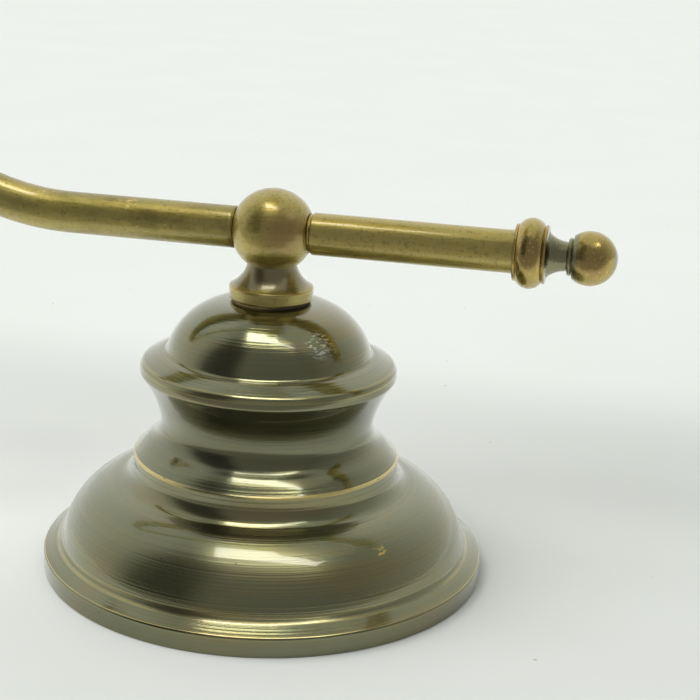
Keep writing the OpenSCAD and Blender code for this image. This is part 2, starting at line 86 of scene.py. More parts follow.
# Circle centres and heights of the canopy's section, as (radius, height)
LIP_ROUND = 0.8
LIP_SLOPE = ((53.25, 4.95), (50.45, 6.5))
BELL_C = (31.9, 4.65)
COVE_R = 4.5
RISER_R = 32.2
SHOULDER_FOOT = (32.0, 28.75)
SHOULDER_FOOT_A = 38
SHOULDER_ROUND = 18
SCOTIA_R = 5.5
FLARE_Z = 33
BRIM_C = (29.4, 49.6)
BRIM_ROUND = 1.6
BRIM_WALL_TOP = (30.9, 50.9)
BRIM_EDGE = (30.2, 51.9)
BRIM_INNER = (26.9, 53.55)
CREASE_BEAD_C = (31.85, 28.5)
CREASE_BEAD_R = 0.45
DOME_C = (8.7, 50.1)
DOME_FOOT_Z = 54.0
DOME_COVE_R = 1.1
CANOPY_TOP = DOME_C[1] + DOME_ROUND
WASHER_T = 0.5
NECK_Z0 = CANOPY_TOP + WASHER_T + 0.05
NECK_ARC_C = (13.3, 77.2)
NECK_ARC_R = 7.55
FIT = 0.05

# Lampholder, gallery, shade and bulb, measured along the head's axis
HOLDER_R = 19.6
HOLDER_DOME_R = 11.0
SKIRT_X = (-15.0, 14.0)
INSERT_FACE = -7.0
GALLERY_X = -2.0
GALLERY_R = 29.6
GALLERY_T = 0.9
CUP_C = (23.0, 4.6)
CUP_END = 15.4
SCREW_X = 10.0
SCREW_TURNS = (90, 210, 330)
SHADE_X = (3.4, 100.0)
BULB_X = (-1.2, 20.0)
BULB_CAP_R = 13.1
GLOBE_X = 46.0

# Camera: where the photograph was taken from
PHOTO_SIDE = 700
FOCAL_PX = 1600.0
SENSOR = 36.0
CAMERA_TURN = 11.27
CAMERA_TILT = 16.63
CAMERA_ROLL = 2.64
CAMERA_REACH = 388.9 * MM
AIM = Vector((0, 0, 45 * MM))
AIM_PX = (268.4, 386.2)

HOME = {
    node: body
    for body, nodes in frame["record"]["behaviour"]["bodies"].items()
    for node in nodes
}
QUARTER_TURN = Matrix.Rotation(math.radians(90), 4, "Y")
PLACES = {
    "stand": Matrix.Identity(4),
    "ball": Matrix.Translation((0, 0, BALL_Z * MM)),
    "arm": Matrix.Translation((0, 0, BALL_Z * MM)) @ QUARTER_TURN,
    "head": Matrix.Translation((0, 0, HEAD_Z * MM)) @ QUARTER_TURN,
}


# Node trees

class Sock:
    """A socket of a node tree. Sums and products on it add Math nodes."""

    def __init__(self, tree, socket):
        self.tree = tree
        self.socket = socket

    def __add__(self, other):
        return self.tree.maths("ADD", self, other)

    def __radd__(self, other):
        return self.tree.maths("ADD", other, self)

    def __sub__(self, other):
        return self.tree.maths("SUBTRACT", self, other)

    def __rsub__(self, other):
        return self.tree.maths("SUBTRACT", other, self)

    def __mul__(self, other):
        return self.tree.maths("MULTIPLY", self, other)

    def __rmul__(self, other):
        return self.tree.maths("MULTIPLY", other, self)

    def __truediv__(self, other):
        return self.tree.maths("DIVIDE", self, other)

    def __pow__(self, other):
        return self.tree.maths("POWER", self, other)

    def __neg__(self):
        return self.tree.maths("MULTIPLY", self, -1)


class Tree:
    """The nodes of a material, of the world or of a shape."""

    def __init__(self, group):
        self.group = group

    def join(self, socket, value):
        if isinstance(value, Sock):
            self.group.links.new(value.socket, socket)
        elif isinstance(value, (tuple, list)) and socket.type == "RGBA" and len(value) == 3:
            socket.default_value = (*value, 1)
        else:
            socket.default_value = value

    def add(self, kind, settings=None, values=None, out=0):
        node = self.group.nodes.new(kind)
        for name, setting in (settings or {}).items():
            if name == "stops":
                self.fill_ramp(node.color_ramp, setting)
            else:
                setattr(node, name, setting)
        for name, value in (values or {}).items():
            self.join(node.inputs[name], value)
        return Sock(self, node.outputs[out])

    def fill_ramp(self, ramp, stops):
        while len(ramp.elements) > 1:
            ramp.elements.remove(ramp.elements[-1])
        for i, (position, level) in enumerate(stops):
            element = ramp.elements[0] if i == 0 else ramp.elements.new(position)
            element.position = position
            element.color = (level, level, level, 1) if isinstance(level, float) else (*level, 1)

    def maths(self, operation, *values):
        return self.add("ShaderNodeMath", {"operation": operation}, dict(enumerate(values)))

    def vector(self, operation, *values, out=0):
        return self.add("ShaderNodeVectorMath", {"operation": operation}, dict(enumerate(values)), out)

    def split(self, vector):
        x = self.add("ShaderNodeSeparateXYZ", values={0: vector})
        return tuple(Sock(self, socket) for socket in x.socket.node.outputs)

    def combine(self, x, y, z):
        return self.add("ShaderNodeCombineXYZ", values={0: x, 1: y, 2: z})

    def step(self, value, low, high):
        """0 below low, 1 above high, and a smooth rise between them."""
        return self.add(
            "ShaderNodeMapRange",
            {"interpolation_type": "SMOOTHSTEP"},
            {"Value": value, "From Min": low, "From Max": high},
        )

    def blend(self, factor, first, second, mode="MIX"):
        """Colour first where factor is 0 and second where it is 1."""
        node = {"data_type": "RGBA", "blend_type": mode, "clamp_factor": True}
        return self.add("ShaderNodeMix", node, {0: factor, 6: first, 7: second}, out=2)

    def noise(self, where, scale, detail=2.0, roughness=0.5):
        values = {"Vector": where, "Scale": scale, "Detail": detail, "Roughness": roughness}
        return self.add("ShaderNodeTexNoise", values=values)

    def dots(self, where, scale, size):
        """1 in small round dots, one in each cell of the given scale."""
        cell = self.add("ShaderNodeTexVoronoi", values={"Vector": where, "Scale": scale})
        return 1 - self.step(cell, size * 0.6, size)

    def spot(self, where, centre, radius):
        """1 near a point given in millimetres, 0 beyond radius."""
        apart = self.vector("DISTANCE", where, tuple(c * MM for c in centre), out="Value")
        return 1 - self.step(apart, radius * 0.3 * MM, radius * MM)


class Look(Tree):
    """A material. Sockets that are the same all over are given by name when it is made."""

    def __init__(self, name, **same):
        self.material = bpy.data.materials.new(name)
        self.material.use_nodes = True
        super().__init__(self.material.node_tree)
        self.shader = self.group.nodes["Principled BSDF"]
        for socket, value in same.items():
            self.join(self.shader.inputs[socket.replace("_", " ")], value)
        self.place = self.add("ShaderNodeTexCoord", out="Object")
        self.bumps = []

    def lay(self, along, around):
        """Coordinates that follow a turned piece: stretched along its section and round its axis."""
        run = self.add("ShaderNodeAttribute", {"attribute_name": "lay"}, out="Vector")
        return self.vector("MULTIPLY", run, (along, around, around))

    def edge(self):
        return self.add("ShaderNodeAttribute", {"attribute_name": "edge"}, out="Fac")

    def bump(self, height, depth):
        """Relief of the given depth in millimetres, added to what was there."""
        self.bumps.append((height, depth))

    def finish(self, **varied):
        for socket, value in varied.items():
            self.join(self.shader.inputs[socket.replace("_", " ")], value)
        normal = None
        for height, depth in self.bumps:
            values = {"Strength": 1.0, "Distance": depth * MM, "Height": height}
            if normal is not None:
                values["Normal"] = normal
            normal = self.add("ShaderNodeBump", values=values)
        if normal is not None:
            self.join(self.shader.inputs["Normal"], normal)
        return self.material


class Shape(Tree):
    """A Geometry Nodes tree with named sizes, in metres."""

    def __init__(self, name, *sizes):
        group = bpy.data.node_groups.new(name, "GeometryNodeTree")
        face = group.interface
        face.new_socket("Geometry", in_out="INPUT", socket_type="NodeSocketGeometry")
        for size in sizes:
            face.new_socket(size, in_out="INPUT", socket_type="NodeSocketFloat")
        face.new_socket("Material", in_out="INPUT", socket_type="NodeSocketMaterial")
        face.new_socket("Geometry", in_out="OUTPUT", socket_type="NodeSocketGeometry")
        super().__init__(group)
        source = group.nodes.new("NodeGroupInput")
        self.given = {s.name: Sock(self, s) for s in source.outputs if s.name}

    def named(self, name, kind="FLOAT"):
        return self.add("GeometryNodeInputNamedAttribute", {"data_type": kind}, {"Name": name})

    def store(self, geometry, name, value, kind="FLOAT"):
        settings = {"data_type": kind, "domain": "POINT"}
        values = {"Geometry": geometry, "Name": name, "Value": value}
        return self.add("GeometryNodeStoreNamedAttribute", settings, values)

    def round_profile(self, radius, sides):
        """A circle that remembers its own points, for the lay of what is swept with it."""
        circle = self.add("GeometryNodeCurvePrimitiveCircle", values={"Resolution": sides, "Radius": radius})
        return self.store(circle, "round", self.add("GeometryNodeInputPosition"), "FLOAT_VECTOR")

    def with_lay(self, geometry):
        x, y, _ = self.split(self.named("round", "FLOAT_VECTOR"))
        return self.store(geometry, "lay", self.combine(self.named("along"), x, y), "FLOAT_VECTOR")

    def close(self, geometry):
        real = self.add("GeometryNodeRealizeInstances", values={"Geometry": geometry})
        values = {"Geometry": real, "Material": self.given["Material"]}
        dressed = self.add("GeometryNodeSetMaterial", values=values)
        sink = self.group.nodes.new("NodeGroupOutput")
        self.join(sink.inputs[0], dressed)
        return self.group


def swan_neck_shape():
    """The arm: straight from the ball, half a turn of crook, and straight back to the lampholder."""
    shape = Shape("swan_neck", "Start", "Run", "Crook Radius", "Head Run", "Tube Radius")
    run, crook = shape.given["Run"], shape.given["Crook Radius"]
    half_turn = crook * math.pi
    total = run + half_turn + shape.given["Head Run"]
    line = shape.add("GeometryNodeCurvePrimitiveLine")
    points = shape.add("GeometryNodeResampleCurve", {"mode": "COUNT"}, {"Curve": line, "Count": 280})
    travel = shape.add("GeometryNodeSplineParameter", out="Factor") * total
    straight = shape.maths("MINIMUM", travel, run)
    turned = shape.maths("MINIMUM", shape.maths("MAXIMUM", travel - run, 0.0), half_turn) / crook
    beyond = shape.maths("MAXIMUM", travel - run - half_turn, 0.0)
    x = beyond - shape.given["Start"] - straight - shape.maths("SINE", turned) * crook
    z = (1 - shape.maths("COSINE", turned)) * crook
    values = {"Geometry": points, "Position": shape.combine(x, 0.0, z)}
    path = shape.store(shape.add("GeometryNodeSetPosition", values=values), "along", travel)
    profile = shape.round_profile(shape.given["Tube Radius"], 64)
    tube = shape.add("GeometryNodeCurveToMesh", values={"Curve": path, "Profile Curve": profile})
    return shape.close(shape.with_lay(tube))


def core_shape():
    """A round core or sleeve along the path that it is given."""
    shape = Shape("wire_core", "Core Radius")
    travel = shape.add("GeometryNodeSplineParameter", out="Length")
    path = shape.store(shape.given["Geometry"], "along", travel)
    profile = shape.round_profile(shape.given["Core Radius"], 20)
    values = {"Curve": path, "Profile Curve": profile, "Fill Caps": True}
    core = shape.add("GeometryNodeCurveToMesh", values=values)
    return shape.close(shape.with_lay(core))


def groove_shape():
    """Cuts grooves round a turned piece where its zone is 1: a screw thread, or a straight knurl."""
    shape = Shape("cut_grooves", "Depth", "Starts", "Turns per Metre", "Sharpness")
    x, y, z = shape.split(shape.add("GeometryNodeInputPosition"))
    angle = shape.maths("ARCTAN2", y, x) / math.tau
    phase = angle * shape.given["Starts"] - z * shape.given["Turns per Metre"]
    wave = shape.maths("ABSOLUTE", shape.maths("FRACT", phase) * 2 - 1) ** shape.given["Sharpness"]
    cut = wave * shape.given["Depth"] * shape.named("zone")
    outward = shape.vector("NORMALIZE", shape.combine(x, y, 0.0))
    inward = shape.add("ShaderNodeVectorMath", {"operation": "SCALE"}, {0: outward, "Scale": -cut})
    values = {"Geometry": shape.given["Geometry"], "Offset": inward}
    return shape.close(shape.add("GeometryNodeSetPosition", values=values))


# Section lines

def arc(centre, radius, start, end, step=3.0):
    """Points on a circle between two angles, in degrees."""
    count = max(2, math.ceil(abs(end - start) / step))
    angles = [math.radians(start + (end - start) * i / count) for i in range(count + 1)]
    return [(centre[0] + radius * math.cos(a), centre[1] + radius * math.sin(a)) for a in angles]


def curve(p, q, r, s, count=18):
    """Points of a cubic curve from p to s with handles q and r."""
    p, q, r, s = (np.array(c, float) for c in (p, q, r, s))
    run = [i / count for i in range(count + 1)]
    return [tuple((1 - t) ** 3 * p + 3 * (1 - t) ** 2 * t * q + 3 * (1 - t) * t * t * r + t ** 3 * s) for t in run]


def slope(points, i, closed):
    """Unit directions from point i to its neighbours, and the distances."""
    before, here, after = points[i - 1], points[i], points[(i + 1) % len(points)]
    back, ahead = before - here, after - here
    far = np.linalg.norm(back), np.linalg.norm(ahead)
    return back / far[0], ahead / far[1], far


def eased(points, width=0.25, sharp=15.0, fine=None):
    """The section with its crisp corners rounded. Each row is radius, height and 1 on a corner.

    A line that starts or ends on the axis is open there. fine is (low, high, radius, spacing):
    straight stretches at that radius between those heights are split at that spacing."""
    line = [np.array(points[0], float)]
    for point in points[1:]:
        if np.linalg.norm(np.array(point) - line[-1]) > 1e-3:
            line.append(np.array(point, float))
    closed = line[0][0] > 1e-6
    if closed and np.linalg.norm(line[0] - line[-1]) < 1e-3:
        line.pop()
    rows = []
    for i, here in enumerate(line):
        if not closed and i in (0, len(line) - 1):
            rows.append((*here, 0))
            continue
        back, ahead, far = slope(line, i, closed)
        bend = 180 - math.degrees(math.acos(np.clip(back @ ahead, -1, 1)))
        if bend < sharp:
            rows.append((*here, 0))
            continue
        cut = min(width, 0.38 * far[0], 0.38 * far[1])
        start, end = here + back * cut, here + ahead * cut
        rows.append((*(here + back * cut * 1.3), 0))
        for t in (0, 0.25, 0.5, 0.75, 1):
            point = (1 - t) ** 2 * start + 2 * t * (1 - t) * here + t * t * end
            rows.append((*point, 1))
        rows.append((*(here + ahead * cut * 1.3), 0))
    return split_fine(rows, closed, fine) if fine else rows


def split_fine(rows, closed, fine):
    low, high, radius, spacing = fine
    out = []
    for i, row in enumerate(rows):
        out.append(row)
        if i == len(rows) - 1 and not closed:
            break
        after = rows[(i + 1) % len(rows)]
        at_radius = abs(row[0] - radius) < 0.02 and abs(after[0] - radius) < 0.02
        length = abs(after[1] - row[1])
        if at_radius and length > spacing and min(row[1], after[1]) < high and max(row[1], after[1]) > low:
            count = math.ceil(length / spacing)
            out += [(row[0], row[1] + (after[1] - row[1]) * k / count, 0) for k in range(1, count)]
    return out


# Meshes

def outward(mesh):
    """The same mesh with its faces turned outwards."""
    grid = bmesh.new()
    grid.from_mesh(mesh)
    if grid.calc_volume(signed=True) < 0:
        bmesh.ops.reverse_faces(grid, faces=grid.faces)
        grid.to_mesh(mesh)
    grid.free()
    return mesh


def write_lay(mesh, rows):
    """Length along the section and place round the axis, for patterns that follow a turned piece."""
    line = np.array(rows)[:, :2] * MM
    reach = np.concatenate([[0], np.cumsum(np.linalg.norm(np.diff(line, axis=0), axis=1))])
    spots = np.empty(len(mesh.vertices) * 3)
    mesh.vertices.foreach_get("co", spots)
    spots = spots.reshape(-1, 3)
    radius = np.hypot(spots[:, 0], spots[:, 1])
    along = np.empty(len(spots))
    for first in range(0, len(spots), 4096):
        part = slice(first, first + 4096)
        gap = (radius[part, None] - line[:, 0]) ** 2 + (spots[part, 2, None] - line[:, 1]) ** 2
        along[part] = reach[gap.argmin(axis=1)]
    lay = mesh.attributes.get("lay") or mesh.attributes.new("lay", "FLOAT_VECTOR", "POINT")
    lay.data.foreach_set("vector", np.stack([along, spots[:, 0], spots[:, 1]], 1).ravel())


def turned(name, rows, around=128, zone=None):
    """A mesh turned about Z from a section. zone is (low, high, radius, fade) of cut grooves."""
    spokes = np.linspace(0, math.tau, around, endpoint=False)
    spots, rings, edge, cut = [], [], [], []
    for radius, height, corner in rows:
        on_axis = radius < 1e-6
        count = 1 if on_axis else around
        rings.append(len(spots) + (np.zeros(around, int) if on_axis else np.arange(around)))
        spots += [(radius * MM * math.cos(a), radius * MM * math.sin(a), height * MM) for a in spokes[:count]]
        depth = 0.0
        if zone and abs(radius - zone[2]) < 0.03:
            depth = min((height - zone[0]) / zone[3], (zone[1] - height) / zone[3], 1)
        edge += [corner] * count
        cut += [max(depth, 0.0)] * count
    faces = []
    closed = rows[0][0] > 1e-6
    for i in range(len(rings) - (0 if closed else 1)):
        low, high = rings[i], rings[(i + 1) % len(rings)]
        for j in range(around):
            k = (j + 1) % around
            corners = [low[j], low[k], high[k], high[j]]
            faces.append([c for n, c in enumerate(corners) if c not in corners[:n]])
    mesh = bpy.data.meshes.new(name)
    mesh.from_pydata(spots, [], faces)
    mesh.attributes.new("edge", "FLOAT", "POINT").data.foreach_set("value", edge)
    mesh.attributes.new("zone", "FLOAT", "POINT").data.foreach_set("value", cut)
    outward(mesh)
    write_lay(mesh, rows)
    mesh.shade_smooth()
    return mesh


def placeholder(data, name):
    thing = bpy.data.objects.new(name, data)
    bpy.context.scene.collection.objects.link(thing)
    return thing


def evaluated(thing):
    """The plain mesh of an object with its modifiers, which then goes."""
    graph = bpy.context.evaluated_depsgraph_get()
    source = thing.evaluated_get(graph)
    mesh = bpy.data.meshes.new_from_object(source, preserve_all_data_layers=True, depsgraph=graph)
    bpy.data.objects.remove(thing)
    mesh.shade_smooth()
    return mesh


def shaped(data, group, look, **sizes):
    """What a Geometry Nodes tree makes of some data, with the tree's inputs given by name."""
    thing = placeholder(data, group.name)
    step = thing.modifiers.new("shape", "NODES")
    step.node_group = group
    given = {key.replace("_", " "): value for key, value in sizes.items()}
    given["Material"] = look
    for item in group.interface.items_tree:
        if item.in_out == "INPUT" and item.name in given:
            step[item.identifier] = given[item.name]
    return evaluated(thing)


def bored(mesh, cutter):
    """The mesh with the cutter's shape taken out of it."""
    tool = placeholder(cutter, "cutter")
    thing = placeholder(mesh, "bored")
    step = thing.modifiers.new("bore", "BOOLEAN")
    step.operation = "DIFFERENCE"
    step.solver = "EXACT"
    step.object = tool
    made = evaluated(thing)
    bpy.data.objects.remove(tool)
    return made


def merged(*meshes):
    """Several meshes as one."""
    things = [placeholder(mesh, "part") for mesh in meshes]
    with bpy.context.temp_override(active_object=things[0], selected_editable_objects=things):
        bpy.ops.object.join()
    mesh = things[0].data
    bpy.data.objects.remove(things[0])
    return mesh


def settle(mesh, node, look, place="stand"):
    """Makes the mesh a piece that stands for a CAD node and rides on the node's body."""
    mesh.transform(PLACES[place] if isinstance(place, str) else place)
    mesh.materials.clear()
    mesh.materials.append(look)
    piece = placeholder(mesh, node + "_finished")
    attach(piece, HOME[node])
    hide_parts(node)
    return piece


def machined(node, look, bevel=0.2):
    """A CAD node's own shape with its crisp edges broken."""
    grid = bmesh.new()
    grid.from_mesh(frame["nodes"][node].data)
    bmesh.ops.remove_doubles(grid, verts=grid.verts, dist=1e-6)
    bmesh.ops.dissolve_limit(grid, angle_limit=math.radians(0.5), verts=grid.verts, edges=grid.edges)
    crisp = [e for e in grid.edges if len(e.link_faces) == 2 and e.calc_face_angle(0) > math.radians(30)]
    bmesh.ops.bevel(
        grid, geom=crisp, offset=bevel * MM, segments=2, profile=0.6, affect="EDGES", clamp_overlap=True
    )
    mesh = bpy.data.meshes.new(node + "_finished")
    grid.to_mesh(mesh)
    grid.free()
    mesh.shade_smooth()
    mesh.set_sharp_from_angle(angle=math.radians(40))
    return settle(mesh, node, look)


# Finishes

GOLD_WEAR = (0.80, 0.65, 0.25)


def canopy_bronze():
    """Spun brass under a dark olive patina and a glossy lacquer, worn to gold on its creases, with painted shade on
    its waist, under its brim and at the foot of its lip.
    """
    look = Look(
        "canopy_bronze", Metallic=1.0, Coat_Weight=0.9, Coat_Roughness=0.06, Coat_IOR=1.65, Anisotropic=0.5,
        Anisotropic_Rotation=0.25,
    )
    where = look.place
    fine = look.noise(look.lay(4200, 8), 1, detail=2)
    lines = look.noise(look.lay(1500, 5), 1, detail=2)
    broad = look.noise(look.lay(240, 22), 1, detail=3)
    cloud = look.noise(where, 38, detail=4)
    grain = look.noise(where, 2600, detail=2)
    olive = look.blend(look.step(cloud, 0.35, 0.65), (0.185, 0.187, 0.092), (0.235, 0.20, 0.078))
    tone = look.blend(look.step(broad, 0.3, 0.7), olive, (0.20, 0.21, 0.11))
    tone = look.blend(look.step(lines, 0.42, 0.62) * 0.35, tone, (0.27, 0.245, 0.11))
    _, _, z = look.split(where)
    wear = look.edge() * look.step(look.noise(look.lay(60, 40), 1, detail=3), 0.25, 0.55)
    wear = wear * look.step(z, 0.002, 0.004) * (1 - 0.78 * look.step(z, 0.05, 0.0505))
    wear = wear * (1 - look.step(z, 0.0531, 0.0534))
    wear = wear * (1 - 0.7 * look.step(z, 0.0056, 0.0058) * (1 - look.step(z, 0.01, 0.012)))
    tone = look.blend(wear, tone, GOLD_WEAR)
    rubbed = look.step(look.noise(look.vector("MULTIPLY", where, (620, 620, 3200)), 1, detail=3), 0.50, 0.61)
    dome_rub = rubbed * look.spot(where, (15.7, -14.3, 61.0), 5.0)
    bell_rub = rubbed * look.spot(where, (34.1, -27.1, 17.6), 2.2)
    tone = look.blend(dome_rub * 0.8, tone, (0.88, 0.88, 0.76))
    tone = look.blend(bell_rub, tone, (0.85, 0.62, 0.10))
    pits = look.dots(where, 210, 0.055)
    tone = look.blend(pits * 0.8, tone, (0.03, 0.03, 0.02))
    # Painted shade: the waist, the underside of the brim and the foot of the lip are darkened towards near-black.
    hollow = look.step(z, 0.029, 0.034) * (1 - look.step(z, 0.047, 0.049))
    under_brim_shade = look.step(z, 0.040, 0.043) * (1 - look.step(z, 0.048, 0.0495))
    lip_foot_shade = 1 - look.step(z, 0.0034, 0.0044)
    tone = look.blend(0.28 * hollow + 0.3 * under_brim_shade + 0.35 * lip_foot_shade, tone, (0.06, 0.058, 0.028))
    look.bump(fine, 0.022)
    look.bump(lines * (1 - 0.75 * hollow), 0.085)
    look.bump(grain, 0.0025)
    rough = 0.13 + 0.04 * look.step(cloud, 0.3, 0.7) + 0.04 * fine + 0.25 * dome_rub + 0.2 * bell_rub
    bell_side = look.step(z, 0.009, 0.013) * (1 - look.step(z, 0.0195, 0.0225))
    return look.finish(Base_Color=tone, Roughness=rough + 0.2 * wear + 0.12 * bell_side)


def antique_brass(
    name, along, around, dull=0.34, warm=0.0, upright=False, polished=(), pitted=0.0, nicks=(), blush_and_painted_reflection=(),
    tarnish=None,
):
    """Brushed brass, browned and lacquered. The brushing runs as along and around are stretched."""
    look = Look(name, Metallic=1.0, Coat_Weight=0.85, Coat_Roughness=0.09, Coat_IOR=1.6)
    where = look.place
    run = look.vector("MULTIPLY", where, (around, around, along)) if upright else look.lay(along, around)
    brushed = look.noise(run, 1, detail=3)
    streak = look.noise(run, 0.25, detail=2)
    cloud = look.noise(where, 110, detail=5, roughness=0.6)
    grain = look.noise(where, 3200, detail=2)
    tone = look.blend(look.step(cloud, 0.36, 0.64), (0.32, 0.255, 0.055), (0.50, 0.40, 0.10))
    tone = look.blend(look.step(streak, 0.35, 0.65) * 0.5, tone, (0.42, 0.355, 0.10))
    tone = look.blend(look.step(brushed, 0.5, 0.7) * 0.35, tone, (0.60, 0.47, 0.15))
    if warm:
        tone = look.blend(warm, tone, (0.74, 0.58, 0.16))
    grime = look.step(look.noise(where, 1300, detail=3), 0.54, 0.68)
    tone = look.blend(grime * 0.4, tone, (0.15, 0.125, 0.045))
    if polished:
        x, _, _ = look.split(where)
        bright = 0.0
        for low, high in polished:
            bright = bright + look.step(x, low * MM, (low + 1) * MM) * (1 - look.step(x, (high - 1) * MM, high * MM))
        tone = look.blend(bright, (0.26, 0.245, 0.125), look.blend(0.55, tone, (0.60, 0.43, 0.095)))
    # Reddish-brown spots on the side facing the camera: partly a real tarnish blush, partly painted dark reflection.
    for centre, radius in blush_and_painted_reflection:
        tone = look.blend(look.spot(where, centre, radius) * 0.7, tone, (0.36, 0.22, 0.07))
    if tarnish:
        low, high = (height * MM for height in tarnish)
        _, _, z = look.split(where)
        grey = look.step(z, low, low + 0.001) * (1 - look.step(z, high - 0.001, high))
        tone = look.blend(grey, tone, (0.27, 0.23, 0.11))
    wear = look.edge() * look.step(look.noise(where, 160, detail=3), 0.3, 0.6)
    if polished:
        wear = wear * bright
    tone = look.blend(wear * 0.7, tone, (0.66, 0.48, 0.16))
    rough = dull + 0.08 * look.step(cloud, 0.3, 0.7) + 0.06 * brushed
    flecks = look.step(look.noise(look.vector("MULTIPLY", where, (700, 1500, 1500)), 1, detail=3), 0.56, 0.64)
    for centre, radius in nicks:
        nick = flecks * look.spot(where, centre, radius)
        tone = look.blend(nick, tone, (0.85, 0.68, 0.24))
        rough = rough + 0.15 * nick
    if pitted:
        pits = look.noise(where, 1500, detail=3)
        look.bump(pits, 0.03 * pitted)
        tone = look.blend(look.step(pits, 0.58, 0.7) * pitted * bright, tone, (0.75, 0.56, 0.2))
    look.bump(brushed, 0.06)
    look.bump(grain, 0.004)
    return look.finish(Base_Color=tone, Roughness=rough)


def bright_brass():
    look = Look("bright_brass", Metallic=1.0)
    cloud = look.noise(look.place, 220, detail=3)
    tone = look.blend(cloud, (0.60, 0.44, 0.17), (0.80, 0.62, 0.28))
    look.bump(look.noise(look.place, 2500, detail=2), 0.004)
    return look.finish(Base_Color=tone, Roughness=0.2 + 0.2 * cloud)


def plated_steel():
    look = Look("plated_steel", Metallic=1.0)
    spangle = look.noise(look.place, 130, detail=3)
    rolled = look.noise(look.vector("MULTIPLY", look.place, (2600, 60, 2600)), 1, detail=2)
    tone = look.blend(spangle, (0.50, 0.51, 0.50), (0.68, 0.68, 0.64))
    tone = look.blend(look.dots(look.place, 170, 0.09) * 0.6, tone, (0.28, 0.24, 0.18))
    look.bump(rolled, 0.006)
    return look.finish(Base_Color=tone, Roughness=0.28 + 0.16 * spangle + 0.08 * rolled)


def fibre():
    """Dark fibre, with a painted brass reflection of the flange on one side."""
    look = Look("dark_fibre")
    strands = look.noise(look.place, 1400, detail=4)
    look.bump(strands, 0.02)
    x, _, _ = look.split(look.place)
    painted_flange_reflection = look.blend(strands, (0.24, 0.17, 0.07), (0.36, 0.26, 0.11))
    dark = look.blend(strands, (0.07, 0.053, 0.033), (0.14, 0.108, 0.07))
    # Painted reflection: the side towards -x takes the brass colour of the flange; the rest keeps the fibre's own
    # dark.
    tone = look.blend(look.step(x, -0.002, 0.005), painted_flange_reflection, dark)
    return look.finish(Base_Color=tone, Roughness=0.6 + 0.2 * strands)


def sleeving(name, dark, light):
    look = Look(name)
    weave = look.noise(look.place, 900, detail=2)
    look.bump(weave, 0.006)
    return look.finish(Base_Color=look.blend(weave, dark, light), Roughness=0.42 + 0.15 * weave)


def earth_insulation():
    """Green insulation with yellow stripes along it."""
    look = Look("lead_green")
    _, x, y = look.split(look.lay(1, 1))
    turn = look.maths("ARCTAN2", y, x)
    stripe = look.step(look.maths("SINE", turn * 2), -0.15, 0.15)
    tone = look.blend(stripe, (0.02, 0.22, 0.04), (0.72, 0.55, 0.03))
    return look.finish(Base_Color=tone, Roughness=0.4 + 0.1 * look.noise(look.place, 900))


def porcelain():
    look = Look("porcelain", Coat_Weight=0.7, Coat_Roughness=0.08)
    cloud = look.noise(look.place, 90, detail=3)
    specks = look.dots(look.place, 420, 0.1)
    tone = look.blend(cloud, (0.80, 0.79, 0.74), (0.88, 0.87, 0.83))
    tone = look.blend(specks * 0.5, tone, (0.35, 0.28, 0.2))
    look.bump(look.noise(look.place, 400, detail=2), 0.02)
    return look.finish(Base_Color=tone, Roughness=0.25 + 0.15 * cloud)


def opal_glass():
    """Milky blown glass, a little uneven, that lets some light through."""
    look = Look(
        "opal_glass", Subsurface_Weight=0.35, Subsurface_Scale=0.004, Coat_Weight=1.0,
        Coat_Roughness=0.03, IOR=1.5,
    )
    swirl = look.noise(look.lay(22, 9), 1, detail=3)
    seeds = look.dots(look.place, 160, 0.06)
    tone = look.blend(swirl, (0.86, 0.85, 0.81), (0.93, 0.925, 0.90))
    tone = look.blend(seeds * 0.35, tone, (0.70, 0.70, 0.66))
    look.bump(swirl, 0.25)
    return look.finish(Base_Color=tone, Roughness=0.16 + 0.08 * swirl)


def pearl_glass():
    look = Look("pearl_glass", Transmission_Weight=0.25, IOR=1.45)
    cloud = look.noise(look.place, 55, detail=3)
    look.bump(look.noise(look.place, 1800, detail=2), 0.004)
    tone = look.blend(cloud, (0.84, 0.84, 0.80), (0.92, 0.92, 0.89))
    return look.finish(Base_Color=tone, Roughness=0.32 + 0.1 * cloud)


def bulb_metal():
    look = Look("bulb_metal", Metallic=1.0)
    cloud = look.noise(look.place, 180, detail=3)
    tone = look.blend(cloud, (0.58, 0.56, 0.50), (0.74, 0.72, 0.66))
    look.bump(look.noise(look.lay(2200, 20), 1), 0.006)
    return look.finish(Base_Color=tone, Roughness=0.25 + 0.15 * cloud)


